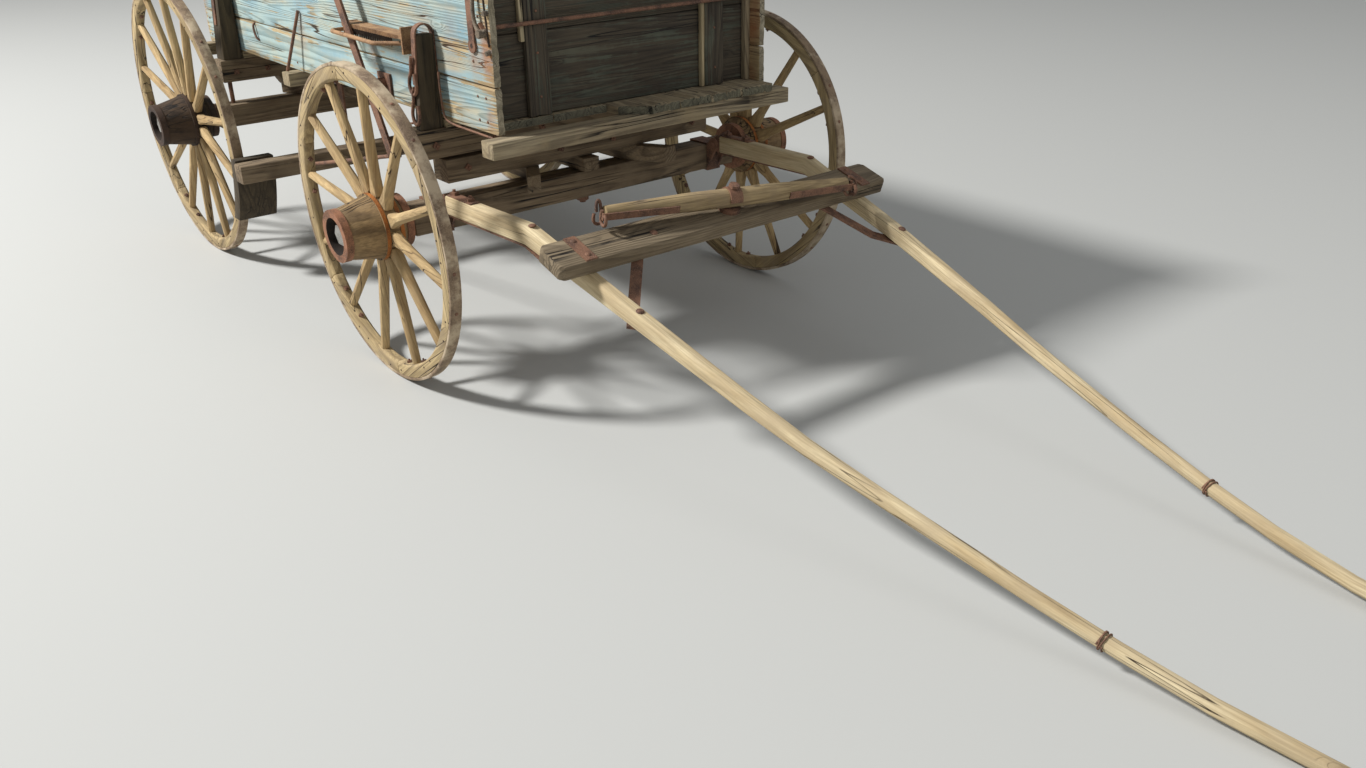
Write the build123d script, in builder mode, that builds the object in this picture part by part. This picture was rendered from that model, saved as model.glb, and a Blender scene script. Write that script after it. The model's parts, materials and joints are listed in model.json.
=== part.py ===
from math import atan2, cos, hypot, pi, radians, sin
import os

from build123d import *

# A one-horse farm wagon: a plank box on wooden running gear, four spoked wheels,
# a fore carriage that steers about a king bolt, and a pair of shafts on the ground.
# Millimetres. +X is forwards, +Y is the wagon's left, +Z is up, the ground is z = 0.

# Wheels
front_wheel_radius = 508
rear_wheel_radius = 559
tyre_width = 38
tyre_thickness = 10
felloe_depth = 44
felloe_joint = 0.8
felloe_rounding = 7
camber = 2.0
half_track = 796
wheelbase = 1750
hub_nose_out = 132
hub_back_in = 98
hub_radius = 104
hub_nose_radius = 84
hub_back_radius = 86
hub_band_width = 24
hub_ring_width = 13
hub_ring_proud = 4
hub_mouth_radius = 57
hub_mouth_depth = 40
hub_mouth_flare = 3
hub_mouth_lip = 6
hub_band_proud = 3
hub_ring_seat = 2
spoke_foot_depth = 28
spoke_foot_spacing = 5
spoke_dish = 22
spoke_neck = 34
spoke_tip = 27
spoke_foot_thickness = 30
spoke_shoulder = 6
spoke_neck_out = 62
spoke_seat_margin = 3
running_gap = 0.3
fit_gap = 0.2
cut_over = 1

# Axles
axle_width = 92
axle_height = 92
axle_drop = 3
skein_root_radius = 33
skein_end_radius = 21
skein_collar_radius = 56
skein_collar_length = 16
hub_end_play = 5
axle_nut_width = 60
axle_nut_length = 22
axle_nut_clearance = 3

# Stack over the axles
reach_height = 46
reach_width = 62
reach_clearance = 5
reach_tail = 130
reach_crank_rear = 40
reach_crank_front = 130
reach_nose = 70
sand_board_height = 76
sand_board_half_length = 545
rub_plate_thickness = 6
rub_plate_radius = 75
bolster_height = 91
bolster_width = 92
bolster_reach = 18
rear_bolster_foot = 395
rear_bolster_taper = 30
bolster_chamfer = 22
king_bolt_radius = 11
king_bolt_clearance = 0.3
king_bolt_tail = 30
king_bolt_sunk = 1
king_nut = 19
king_nut_height = 20
king_nut_up = 8

# Box
box_front_overhang = 373
box_rear_overhang = 350
box_half_width = 533
board_thickness = 25
sill_height = 50
sill_width = 66
sill_reach = 59
front_sill_setback = 6
bolster_sill_height = 27
lower_board_height = 140
middle_board_height = 262
upper_board_height = 255
board_groove = 4
floor_front_reach = 70
floor_broken_reach = 14
floor_board_count = 5
floor_board_seam = 0.6
gate_setback = 72
gate_cleat_thickness = 22
gate_cleat_width = 80
gate_cleat_at = 348
gate_cleat_short = 12
gate_height = 640
gate_seams = (250, 450)
tailgate_setback = 60
tailgate_play = 6
guide_drop = 6
rod_radius = 6
rod_setback = 42
rear_rod_setback = 18
rod_height = 304
rod_end = 22
rod_nut = 13
rod_nut_length = 12
strap_width = 32
strap_thickness = 6
strap_hole_radius = 6.5
strap_from_end = 103
strap_low = 235
strap_drop = 8
side_brace_height = 230
side_brace_lean = 90

# Stakes on the bolster ends
stake_root = 78
stake_top = 56
front_stake_width = 34
front_stake_ahead = 23
rear_stake_width = 84
stake_height = 290
stake_rounding = 8
stake_box_gap = 6
stake_band_thickness = 5
stake_band_width = 24
stake_loop_rise = 26
stake_band_leg = 150
bolster_stay_at = 596
bolster_stay_radius = 9

# Brake
brake_gap = 9
shoe_thickness = 52
shoe_outboard = 34
shoe_inboard = 118
shoe_low = 250
shoe_high = 505
brake_beam_size = 72
brake_beam_height = 462
brake_beam_let_in = 8
brake_beam_end = 6
brake_beam_chamfer = 6
hanger_width = 40
hanger_thickness = 8
hanger_at = 380
hanger_foot = 110
rack_length = 415
rack_behind_axle = 510
rack_height = 240
rack_reach = 60
rack_thickness = 12
rack_pitch = 16
rack_tooth = 9
rack_tooth_lean = 3
rack_plate_thickness = 9
rack_front_drop = 52
rack_front_rise = 30
rack_rear_drop = 40
rack_rear_rise = 8
pull_rod_radius = 7
pull_rod_inboard = 20
lever_pin_share = 0.03
lever_pin_radius = 9
lever_pivot_share = 0.28
lever_pivot_radius = 20
pivot_plate = 90
pivot_plate_height = 72
pivot_plate_thickness = 8
guard_radius = 7
guard_drop = 22
guard_gap = 16
guard_bend = 26
guard_rear_foot = 40
guard_rear_corner = 30
guard_front_foot = 24
guard_front_corner = 90
guard_splay = 14
lever_width = 40
lever_thickness = 9
lever_gap = 3
lever_foot_behind_axle = 214
lever_foot_height = 630
lever_top_behind_axle = 690
lever_top_height = 1490

# Hounds
hound_width = 52
front_hound_at = 200
front_hound_reach = 150
front_hound_tail = 430
front_hound_tail_at = 186
front_hound_tip_at = 288
rear_hound_reach = 520
rear_hound_spread = 330
rear_hound_tail = 60
rear_hound_heel = 130
rear_hound_shoulder = 110
rear_hound_nose = 24
slider_width = 60
slider_thickness = 34

# Shafts
coupling_ahead = 84
coupling_at = 575
coupling_height = 561
coupling_pin_radius = 8
coupling_eye_radius = 22
coupling_eye_width = 42
coupling_pin_reach = 8
coupling_clip_thickness = 6
jaw_thickness = 9
jaw_gap = 1
jaw_height = 84
# columns: distance ahead of the front axle, half the spacing, height of the top, width, depth, corner
shaft_stations = [
    (108, 575, 592, 42, 62, 4),
    (560, 568, 600, 42, 60, 4),
    (1000, 530, 468, 42, 52, 7),
    (1400, 485, 340, 40, 48, 10),
    (1600, 457, 275, 39, 44, 11),
    (1800, 425, 220, 38, 41, 11),
    (2000, 393, 169, 37, 39, 11),
    (2200, 364, 121, 36, 38, 11),
    (2400, 338, 81, 36, 38, 11),
    (2600, 316, 53, 36, 38, 11),
    (2860, 292, 38, 36, 38, 11),
]
crossbar_ahead = 778
crossbar_width = 125
crossbar_thickness = 45
crossbar_half_length = 650
crossbar_corner = 14
shaft_plate_width = 38
shaft_plate_length = 117
shaft_plate_thickness = 5
brace_width = 34
brace_thickness = 8
brace_inboard = 355
brace_foot_ahead = 1010
brace_start_ahead = 20
brace_seat_gap = 0.3
brace_bend = 4
brace_heel = 20
brace_heel_bend = 34
brace_toe = 22
brace_toe_bend = 70
brace_foot_inset = 2
heel_strap_run = 140
heel_strap_width = 30
heel_strap_inset = 2

# Singletree
singletree_half_length = 425
singletree_radius = 29
singletree_end_radius = 20
singletree_angle = -10.5
singletree_lift = 43
singletree_pin_radius = 8
singletree_pin_proud = 2
singletree_nut = 15
singletree_nut_height = 9
spacer_radius = 34
clip_thickness = 5
clip_width = 42
hook_wire = 5
hook_radius = 16
hook_strap_length = 230
hook_strap_width = 22
hook_strap_thickness = 4
hook_strap_turn = 16
hook_shank = 8
hook_sweep = 260

# Places that follow from the sizes above
shaft_tip_ahead = shaft_stations[-1][0]
rear_axle_x = (rear_wheel_radius - wheelbase - shaft_tip_ahead) / 2
front_axle_x = rear_axle_x + wheelbase
camber_sin = sin(radians(camber))
camber_cos = cos(radians(camber))
tyre_half_width = tyre_width / 2


def hub_height(radius):
    return radius * camber_cos + tyre_half_width * camber_sin


axle_centre_z = hub_height(front_wheel_radius) - axle_drop
axle_top = axle_centre_z + axle_height / 2
sand_board_bottom = axle_top + reach_height + 2 * reach_clearance
sand_board_top = sand_board_bottom + sand_board_height
bolster_bottom = sand_board_top + 2 * rub_plate_thickness
bolster_top = bolster_bottom + bolster_height
floor_bottom = bolster_top + bolster_sill_height
box_inner = box_half_width - board_thickness
sill_half_length = box_half_width + sill_reach
stake_inner = box_half_width + stake_box_gap
bolster_half_length = stake_inner + stake_root + bolster_reach
box_front = front_axle_x + box_front_overhang
box_rear = rear_axle_x - box_rear_overhang
box_top = floor_bottom + lower_board_height + middle_board_height + upper_board_height
floor_top = floor_bottom + board_thickness
rear_axle_z = hub_height(rear_wheel_radius) - axle_drop
rear_axle_top = rear_axle_z + axle_height / 2
shoe_inner = rear_wheel_radius + brake_gap
beam_rear = rear_axle_x + shoe_inner + shoe_thickness - brake_beam_let_in
beam_front = beam_rear + brake_beam_size
mid_sill_x = (beam_rear + beam_front) / 2
os.makedirs("parts", exist_ok=True)


def keep(piece, name):
    piece.part.label = name
    export_step(piece.part, f"parts/{name}.step")


def block(x, y, z):
    """A plain timber between two corners, each given as (low, high)."""
    with Locations(((x[0] + x[1]) / 2, (y[0] + y[1]) / 2, (z[0] + z[1]) / 2)):
        Box(x[1] - x[0], y[1] - y[0], z[1] - z[0])


def bar(start, end, radius):
    """A round iron rod from one point to another."""
    way = Vector(*end) - Vector(*start)
    with Locations(Plane(origin=start, z_dir=way)):
        Cylinder(radius, way.length, align=(Align.CENTER, Align.CENTER, Align.MIN))


# Wheels: each has a turned hub, spokes with feet let into it, sawn felloes and an iron tyre


def spoke_width(count, out):
    """Room for one spoke round the wheel at a distance from the axle."""
    return 2 * pi * out / count - spoke_foot_spacing


def spoke_lean(wheel_radius):
    """Outward lean of the spokes, the dish of the wheel."""
    return spoke_dish / (wheel_radius - tyre_thickness - felloe_depth - hub_radius)


def make_spoke(wheel_radius, count):
    """One spoke along +X with the wheel's axis on +Z, leaning outwards from hub to felloe."""
    foot = hub_radius - spoke_foot_depth
    tip = wheel_radius - tyre_thickness - felloe_depth - 2 * fit_gap
    lean = spoke_lean(wheel_radius)
    tenon = spoke_width(count, foot)
    # columns: distance from the axle, width round the wheel, thickness along the axle, corner
    stations = [
        (foot, tenon, spoke_foot_thickness, 2),
        (hub_radius + fit_gap, tenon, spoke_foot_thickness, 2),
        (hub_radius + spoke_shoulder, spoke_width(count, hub_radius), spoke_foot_thickness, 5),
        (hub_radius + spoke_neck_out, spoke_neck, spoke_neck, 10),
        (tip, spoke_tip, spoke_tip, 8),
    ]
    with BuildPart() as spoke:
        for out, wide, thick, corner in stations:
            middle = -spoke_dish + max(0, out - hub_radius) * lean
            with BuildSketch(Plane(origin=(out, 0, middle), x_dir=(0, 1, 0), z_dir=(1, 0, 0))) as section:
                Rectangle(wide, thick)
                chamfer(section.vertices(), corner)
        loft(ruled=True)
    return spoke


def wheel_plane(axle_x, radius, side):
    """Across the wheel at its hub, with its axis pointing out of the wagon and tipped down by the camber."""
    return Plane(
        origin=(axle_x, side * half_track, hub_height(radius)),
        x_dir=(1, 0, 0),
        z_dir=(0, side * camber_cos, -camber_sin),
    )


def turned(plane, angle):
    """The same plane turned about its own normal."""
    return Plane(plane.location * Rotation(0, 0, angle))


def make_wheel(name, axle_x, radius, count, felloes, side, phase, spoke):
    plane = turned(wheel_plane(axle_x, radius, side), phase)
    profile = Plane(origin=plane.origin, x_dir=plane.z_dir, z_dir=-plane.y_dir)
    spin = Axis(plane.origin, plane.z_dir)
    felloe_outer = radius - tyre_thickness - running_gap
    felloe_inner = radius - tyre_thickness - felloe_depth
    back = -hub_back_in
    nose = hub_nose_out
    seat_low = -spoke_dish - spoke_foot_thickness / 2 - spoke_seat_margin
    seat_high = -spoke_dish + spoke_foot_thickness / 2 + spoke_seat_margin

    with BuildPart() as hub:
        with BuildSketch(profile):
            with BuildLine():
                outline = Polyline(
                    (nose - hub_mouth_depth, skein_end_radius + hub_mouth_lip),
                    (nose - hub_mouth_depth, hub_mouth_radius),
                    (nose, hub_mouth_radius + hub_mouth_flare),
                    (nose, hub_nose_radius),
                    (nose - hub_band_width, hub_nose_radius),
                    (nose - hub_band_width, hub_nose_radius - hub_band_proud),
                    (seat_high + hub_ring_width, hub_radius - hub_ring_seat),
                    (seat_high + hub_ring_width, hub_radius + hub_ring_proud),
                    (seat_high, hub_radius + hub_ring_proud),
                    (seat_high, hub_radius),
                    (seat_low, hub_radius),
                    (seat_low, hub_radius + hub_ring_proud),
                    (seat_low - hub_ring_width, hub_radius + hub_ring_proud),
                    (seat_low - hub_ring_width, hub_radius - hub_ring_seat),
                    (back + hub_band_width, hub_back_radius - hub_band_proud),
                    (back + hub_band_width, hub_back_radius),
                    (back, hub_back_radius),
                    (back, skein_root_radius + running_gap),
                )
                Line(outline @ 1, outline @ 0)
            make_face()
        revolve(axis=spin)
        with BuildSketch(profile):
            with BuildLine():
                bore = Polyline(
                    (back - cut_over, 0),
                    (back - cut_over, skein_root_radius + running_gap),
                    (back, skein_root_radius + running_gap),
                    (nose - hub_mouth_depth, skein_end_radius + running_gap),
                    (nose - hub_mouth_depth + cut_over, skein_end_radius + running_gap),
                    (nose - hub_mouth_depth + cut_over, 0),
                )
                Line(bore @ 1, bore @ 0)
            make_face()
        revolve(axis=spin, mode=Mode.SUBTRACT)
        foot = hub_radius - spoke_foot_depth
        for index in range(count):
            ray = turned(plane, 360 * index / count)
            socket = Plane(
                origin=ray.from_local_coords((foot - fit_gap, 0, -spoke_dish)),
                x_dir=ray.y_dir,
                z_dir=ray.x_dir,
            )
            with BuildSketch(socket):
                Rectangle(spoke_width(count, foot) + 2 * fit_gap, spoke_foot_thickness + 2 * fit_gap)
            extrude(amount=2 * spoke_foot_depth, mode=Mode.SUBTRACT)
    keep(hub, f"{name}_hub")

    with BuildPart(plane) as spokes:
        with PolarLocations(0, count):
            add(spoke.part)
    keep(spokes, f"{name}_spokes")

    with BuildPart(plane) as rim:
        with BuildSketch(plane.offset(-tyre_half_width)):
            Circle(felloe_outer)
            Circle(felloe_inner, mode=Mode.SUBTRACT)
        extrude(amount=tyre_width)
        inner_edges = rim.edges().filter_by(GeomType.CIRCLE).sort_by(SortBy.RADIUS)[:2]
        chamfer(inner_edges, felloe_rounding)
        with PolarLocations((felloe_inner + felloe_outer) / 2, felloes, start_angle=180 / count):
            Box(felloe_depth + 4 * cut_over, felloe_joint, tyre_width + 2 * cut_over, mode=Mode.SUBTRACT)
    keep(rim, f"{name}_felloes")

    with BuildPart(plane) as tyre:
        with BuildSketch(plane.offset(-tyre_half_width)):
            Circle(radius)
            Circle(radius - tyre_thickness, mode=Mode.SUBTRACT)
        extrude(amount=tyre_width)
    keep(tyre, f"{name}_tyre")


front_spoke = make_spoke(front_wheel_radius, 12)
rear_spoke = make_spoke(rear_wheel_radius, 14)
# columns: name, axle, radius, spokes, felloes, side, turn, pattern spoke
for name, axle_x, radius, count, felloes, side, phase, spoke in [
    ("front_right", front_axle_x, front_wheel_radius, 12, 6, -1, 20, front_spoke),
    ("front_left", front_axle_x, front_wheel_radius, 12, 6, 1, 4, front_spoke),
    ("rear_right", rear_axle_x, rear_wheel_radius, 14, 7, -1, 8, rear_spoke),
    ("rear_left", rear_axle_x, rear_wheel_radius, 14, 7, 1, 17, rear_spoke),
]:
    make_wheel(name, axle_x, radius, count, felloes, side, phase, spoke)


# Axles: a timber with an iron skein on each end, which tapers into the hub and ends in a nut


def make_axle(name, axle_x, radius, centre_z, bore_radius):
    arm_end = hub_nose_out - hub_mouth_depth + axle_nut_clearance
    with BuildPart() as timber:
        block(
            (axle_x - axle_width / 2, axle_x + axle_width / 2),
            (-half_track, half_track),
            (centre_z - axle_height / 2, centre_z + axle_height / 2),
        )
        for side in (-1, 1):
            plane = wheel_plane(axle_x, radius, side)
            end = plane.offset(-hub_back_in - hub_end_play - skein_collar_length)
            with BuildSketch(end):
                Rectangle(3 * axle_width, 3 * axle_height)
            extrude(amount=4 * hub_back_in, mode=Mode.SUBTRACT)
        if bore_radius:
            with Locations((axle_x, 0, centre_z)):
                Cylinder(bore_radius, 2 * axle_height, mode=Mode.SUBTRACT)
    keep(timber, f"{name}_axle")

    with BuildPart() as skeins:
        for side in (-1, 1):
            plane = wheel_plane(axle_x, radius, side)
            profile = Plane(origin=plane.origin, x_dir=plane.z_dir, z_dir=-plane.y_dir)
            root = -hub_back_in - hub_end_play
            with BuildSketch(profile):
                with BuildLine():
                    outline = Polyline(
                        (root - skein_collar_length, 0),
                        (root - skein_collar_length, axle_width / 2),
                        (root - skein_collar_length / 2, skein_collar_radius),
                        (root, skein_collar_radius),
                        (root, skein_root_radius),
                        (-hub_back_in, skein_root_radius),
                        (hub_nose_out - hub_mouth_depth, skein_end_radius),
                        (arm_end, skein_end_radius),
                        (arm_end, 0),
                    )
                    Line(outline @ 1, outline @ 0)
                make_face()
            revolve(axis=Axis(plane.origin, plane.z_dir))
            with BuildSketch(plane.offset(arm_end)):
                RegularPolygon(axle_nut_width / 2, 6, major_radius=False)
            extrude(amount=axle_nut_length)
    keep(skeins, f"{name}_skeins")


king_bore = king_bolt_radius + king_bolt_clearance
make_axle("front", front_axle_x, front_wheel_radius, axle_centre_z, king_bore)
make_axle("rear", rear_axle_x, rear_wheel_radius, rear_axle_z, 0)

# Sand board over the front axle, with a round iron rub plate for the bolster to turn on
with BuildPart() as sand_board:
    block(
        (front_axle_x - axle_width / 2, front_axle_x + axle_width / 2),
        (-sand_board_half_length, sand_board_half_length),
        (sand_board_bottom, sand_board_top),
    )
    with BuildSketch(Plane.XY.offset(sand_board_bottom)):
        with Locations((front_axle_x, 0)):
            Circle(king_bore)
    extrude(amount=sand_board_height, mode=Mode.SUBTRACT)
keep(sand_board, "sand_board")

# Front hounds: two bent timbers between the axle and the sand board, tied behind by a slider
with BuildPart() as front_hounds:
    for side in (-1, 1):
        # columns: distance ahead of the axle, half the spacing
        centre_line = [
            (-front_hound_tail, front_hound_tail_at),
            (0, front_hound_at),
            (front_hound_reach, front_hound_tip_at),
        ]
        inner = [(front_axle_x + ahead, side * (out - hound_width / 2)) for ahead, out in centre_line]
        outer = [(front_axle_x + ahead, side * (out + hound_width / 2)) for ahead, out in centre_line]
        with BuildSketch(Plane.XY.offset(axle_top)):
            Polygon(*inner, *reversed(outer), align=None)
        extrude(amount=sand_board_bottom - axle_top)
    block(
        (front_axle_x - front_hound_tail, front_axle_x - front_hound_tail + slider_width),
        (-front_hound_at, front_hound_at),
        (axle_top - slider_thickness, axle_top),
    )
keep(front_hounds, "front_hounds")

# Fore carriage irons: the lower rub plate, and the shaft couplings, which are a clip
# round each end of the axle with two jaws and a pin
coupling_x = front_axle_x + coupling_ahead
jaw_root = front_axle_x + axle_width / 2 + coupling_clip_thickness / 2
with BuildPart() as front_irons:
    with BuildSketch(Plane.XY.offset(sand_board_top)):
        with Locations((front_axle_x, 0)):
            Circle(rub_plate_radius)
            Circle(king_bore, mode=Mode.SUBTRACT)
    extrude(amount=rub_plate_thickness - running_gap)
    for side in (-1, 1):
        middle = side * coupling_at
        jaw_inner = coupling_eye_width / 2 + jaw_gap
        with BuildSketch(Plane.XZ.offset(-middle - jaw_inner - jaw_thickness)):
            with Locations((front_axle_x, axle_centre_z)):
                axle_section = Rectangle(axle_width + fit_gap, axle_height + fit_gap)
                offset(axle_section, coupling_clip_thickness, kind=Kind.INTERSECTION)
                Rectangle(axle_width + fit_gap, axle_height + fit_gap, mode=Mode.SUBTRACT)
        extrude(amount=2 * (jaw_inner + jaw_thickness))
        for inner_face in (middle - jaw_inner - jaw_thickness, middle + jaw_inner):
            with BuildSketch(Plane.XZ.offset(-inner_face - jaw_thickness)):
                with BuildLine():
                    Line((jaw_root, axle_top - jaw_height), (jaw_root, axle_top))
                    CenterArc((coupling_x, coupling_height), coupling_eye_radius, 0, 360)
                make_hull()
            extrude(amount=jaw_thickness)
        pin_half = jaw_inner + jaw_thickness + coupling_pin_reach
        bar(
            (coupling_x, middle - pin_half, coupling_height),
            (coupling_x, middle + pin_half, coupling_height),
            coupling_pin_radius,
        )
keep(front_irons, "front_irons")

# King bolt: it hangs from the bolster through the sand board, the reach and the axle
with BuildPart() as king_bolt:
    bolt_low = axle_centre_z - axle_height / 2 - king_bolt_tail
    bar((front_axle_x, 0, bolt_low), (front_axle_x, 0, bolster_top - king_bolt_sunk), king_bolt_radius)
    with BuildSketch(Plane.XY.offset(sand_board_top + rub_plate_thickness)):
        with Locations((front_axle_x, 0)):
            Circle(rub_plate_radius)
    extrude(amount=rub_plate_thickness)
    with BuildSketch(Plane.XY.offset(bolt_low + king_nut_up)):
        with Locations((front_axle_x, 0)):
            RegularPolygon(king_nut, 6, major_radius=False)
    extrude(amount=king_nut_height)
keep(king_bolt, "king_bolt")

# Bolsters, which carry the box: the front one over the king bolt, the rear one on the reach
rear_bolster_bottom = rear_axle_top + reach_height
with BuildPart() as front_bolster:
    block(
        (front_axle_x - bolster_width / 2, front_axle_x + bolster_width / 2),
        (-bolster_half_length, bolster_half_length),
        (bolster_bottom, bolster_top),
    )
    chamfer(front_bolster.faces().sort_by(Axis.Z)[0].edges().filter_by(Axis.X), bolster_chamfer)
    with BuildSketch(Plane.XY.offset(bolster_bottom)):
        with Locations((front_axle_x, 0)):
            Circle(king_bolt_radius + fit_gap)
    extrude(amount=bolster_height, mode=Mode.SUBTRACT)
keep(front_bolster, "front_bolster")

with BuildPart() as rear_bolster:
    with BuildSketch(Plane.YZ.offset(rear_axle_x - bolster_width / 2)):
        Polygon(
            (-bolster_half_length, bolster_top),
            (-bolster_half_length, bolster_bottom),
            (-rear_bolster_foot, bolster_bottom),
            (-rear_bolster_foot + rear_bolster_taper, rear_bolster_bottom),
            (rear_bolster_foot - rear_bolster_taper, rear_bolster_bottom),
            (rear_bolster_foot, bolster_bottom),
            (bolster_half_length, bolster_bottom),
            (bolster_half_length, bolster_top),
            align=None,
        )
    extrude(amount=bolster_width)
keep(rear_bolster, "rear_bolster")

# Reach: the long timber that ties the two axles, cranked down to the fore carriage
reach_front_bottom = axle_top + reach_clearance
with BuildPart() as reach:
    # columns: place along the wagon, height of the underside
    underside = [
        (rear_axle_x - reach_tail, rear_axle_top),
        (rear_axle_x + rear_hound_reach + reach_crank_rear, rear_axle_top),
        (front_axle_x - front_hound_tail - reach_crank_front, reach_front_bottom),
        (front_axle_x + reach_nose, reach_front_bottom),
    ]
    upper = [(x, z + reach_height) for x, z in reversed(underside)]
    with BuildSketch(Plane.XZ.offset(-reach_width / 2)):
        Polygon(*underside, *upper, align=None)
    extrude(amount=reach_width)
    with BuildSketch(Plane.XY.offset(reach_front_bottom - cut_over)):
        with Locations((front_axle_x, 0)):
            Circle(king_bolt_radius + fit_gap)
    extrude(amount=reach_height + 2 * cut_over, mode=Mode.SUBTRACT)
keep(reach, "reach")

# Rear hounds, which brace the rear axle from the reach
with BuildPart() as rear_hounds:
    for side in (-1, 1):
        near = reach_width / 2
        tip = rear_axle_x + rear_hound_reach
        corners = [
            (rear_axle_x - rear_hound_tail, rear_hound_spread - hound_width / 2),
            (tip - rear_hound_heel, near),
            (tip, near),
            (tip, near + rear_hound_nose),
            (tip - rear_hound_shoulder, near + hound_width),
            (rear_axle_x - rear_hound_tail, rear_hound_spread + hound_width / 2),
        ]
        with BuildSketch(Plane.XY.offset(rear_axle_top)):
            Polygon(*[(x, side * y) for x, y in corners], align=None)
        extrude(amount=reach_height)
keep(rear_hounds, "rear_hounds")

# Stakes: uprights let into the bolster ends, tapered outside, which hold the box between them
# columns: middle along the wagon, width along it
stake_places = [
    (front_axle_x + front_stake_ahead, front_stake_width),
    (rear_axle_x, rear_stake_width),
]
stake_taper = (stake_root - stake_top) / stake_height
stake_head = bolster_top + stake_height
with BuildPart() as stakes:
    for middle, width in stake_places:
        for side in (-1, 1):
            with BuildSketch(Plane.YZ.offset(middle - width / 2)):
                Polygon(
                    (side * stake_inner, bolster_top),
                    (side * (stake_inner + stake_root), bolster_top),
                    (side * (stake_inner + stake_top), stake_head),
                    (side * stake_inner, stake_head),
                    align=None,
                )
            extrude(amount=width)
    fillet(stakes.faces().group_by(Axis.Z)[-1].edges().filter_by(Axis.X), stake_rounding)
keep(stakes, "stakes")

# Stake irons: a band down both sides of a stake that stands in a loop over its head
with BuildPart() as stake_irons:
    for middle, _ in stake_places:
        for side in (-1, 1):
            leg_z = stake_head - stake_band_leg
            inner = stake_inner - running_gap
            outer = stake_inner + stake_top + running_gap
            foot = outer + stake_taper * stake_band_leg
            loop_y = (inner + outer) / 2
            band = stake_band_thickness
            # places across and up: the band's face on the stake, then its outer face
            near = [(inner, leg_z), (inner, stake_head), (loop_y, stake_head + stake_loop_rise)]
            near += [(outer, stake_head), (foot, leg_z)]
            far = [(inner - band, leg_z), (inner - band, stake_head)]
            far += [(loop_y, stake_head + stake_loop_rise + band), (outer + band, stake_head)]
            far += [(foot + band, leg_z)]
            near = [(side * out, height) for out, height in near]
            far = [(side * out, height) for out, height in far]
            with BuildSketch(Plane.YZ.offset(middle - stake_band_width / 2)):
                with BuildLine():
                    for line in (near, far):
                        Line(line[0], line[1])
                        ThreePointArc(*line[1:4])
                        Line(line[3], line[4])
                    Line(near[0], far[0])
                    Line(near[4], far[4])
                make_face()
            extrude(amount=stake_band_width)
    # upright stays between the ends of the rear axle and the rear bolster
    for side in (-1, 1):
        stay_y = side * bolster_stay_at
        stay_low = rear_axle_top + running_gap
        stay_high = bolster_bottom - running_gap
        bar((rear_axle_x, stay_y, stay_low), (rear_axle_x, stay_y, stay_high), bolster_stay_radius)
keep(stake_irons, "stake_irons")

# Box sides, each of three boards on edge with an open seam between them
seams = [floor_bottom + lower_board_height, floor_bottom + lower_board_height + middle_board_height]
front_rod_x = box_front - rod_setback
rear_rod_x = box_rear + rear_rod_setback
rod_z = floor_bottom + rod_height
with BuildPart() as right_side:
    block((box_rear, box_front), (-box_half_width, -box_inner), (floor_bottom, box_top))
    for seam in seams:
        for face in (-box_half_width, -box_inner):
            with Locations(((box_rear + box_front) / 2, face, seam)):
                Box(box_front - box_rear, 2 * board_groove, board_groove, mode=Mode.SUBTRACT)
    for rod_x in (front_rod_x, rear_rod_x):
        with BuildSketch(Plane.XZ.offset(box_inner - cut_over)):
            with Locations((rod_x, rod_z)):
                Circle(rod_radius + fit_gap)
        extrude(amount=board_thickness + 2 * cut_over, mode=Mode.SUBTRACT)
keep(right_side, "right_side")

with BuildPart() as left_side:
    mirror(right_side.part, about=Plane.XZ)
keep(left_side, "left_side")

# Floor boards, laid lengthwise, two of them broken off short at the front
with BuildPart() as floor_boards:
    board_pitch = (2 * box_inner) / floor_board_count
    for index in range(floor_board_count):
        low = -box_inner + index * board_pitch + floor_board_seam
        high = low + board_pitch - 2 * floor_board_seam
        reach_out = floor_broken_reach if index < 2 else floor_front_reach
        block((box_rear, box_front + reach_out), (low, high), (floor_bottom, floor_top))
keep(floor_boards, "floor_boards")

# Sills under the floor, two of them on the bolsters
with BuildPart() as sills:
    # columns: middle along the wagon, width, depth, half length
    for middle, width, depth, half_length in [
        (box_front - front_sill_setback + sill_width / 2, sill_width, sill_height, sill_half_length),
        (front_axle_x, bolster_width, bolster_sill_height, box_half_width),
        (mid_sill_x, sill_width, sill_height, sill_half_length),
        (rear_axle_x, bolster_width, bolster_sill_height, box_half_width),
        (box_rear + sill_width / 2, sill_width, sill_height, sill_half_length),
    ]:
        block(
            (middle - width / 2, middle + width / 2),
            (-half_length, half_length),
            (floor_bottom - depth, floor_bottom),
        )
keep(sills, "sills")

# Front gate: boards across the box with two upright cleats
gate_front = box_front - gate_setback
with BuildPart() as front_gate:
    block(
        (gate_front - board_thickness, gate_front),
        (-box_inner + fit_gap, box_inner - fit_gap),
        (floor_top, floor_top + gate_height),
    )
    for seam in gate_seams:
        with Locations((gate_front, 0, floor_top + seam)):
            Box(2 * board_groove, 2 * box_inner, board_groove, mode=Mode.SUBTRACT)
    for side in (-1, 1):
        block(
            (gate_front, gate_front + gate_cleat_thickness),
            (side * gate_cleat_at - gate_cleat_width / 2, side * gate_cleat_at + gate_cleat_width / 2),
            (floor_top, floor_top + gate_height - gate_cleat_short),
        )
keep(front_gate, "front_gate")

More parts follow.
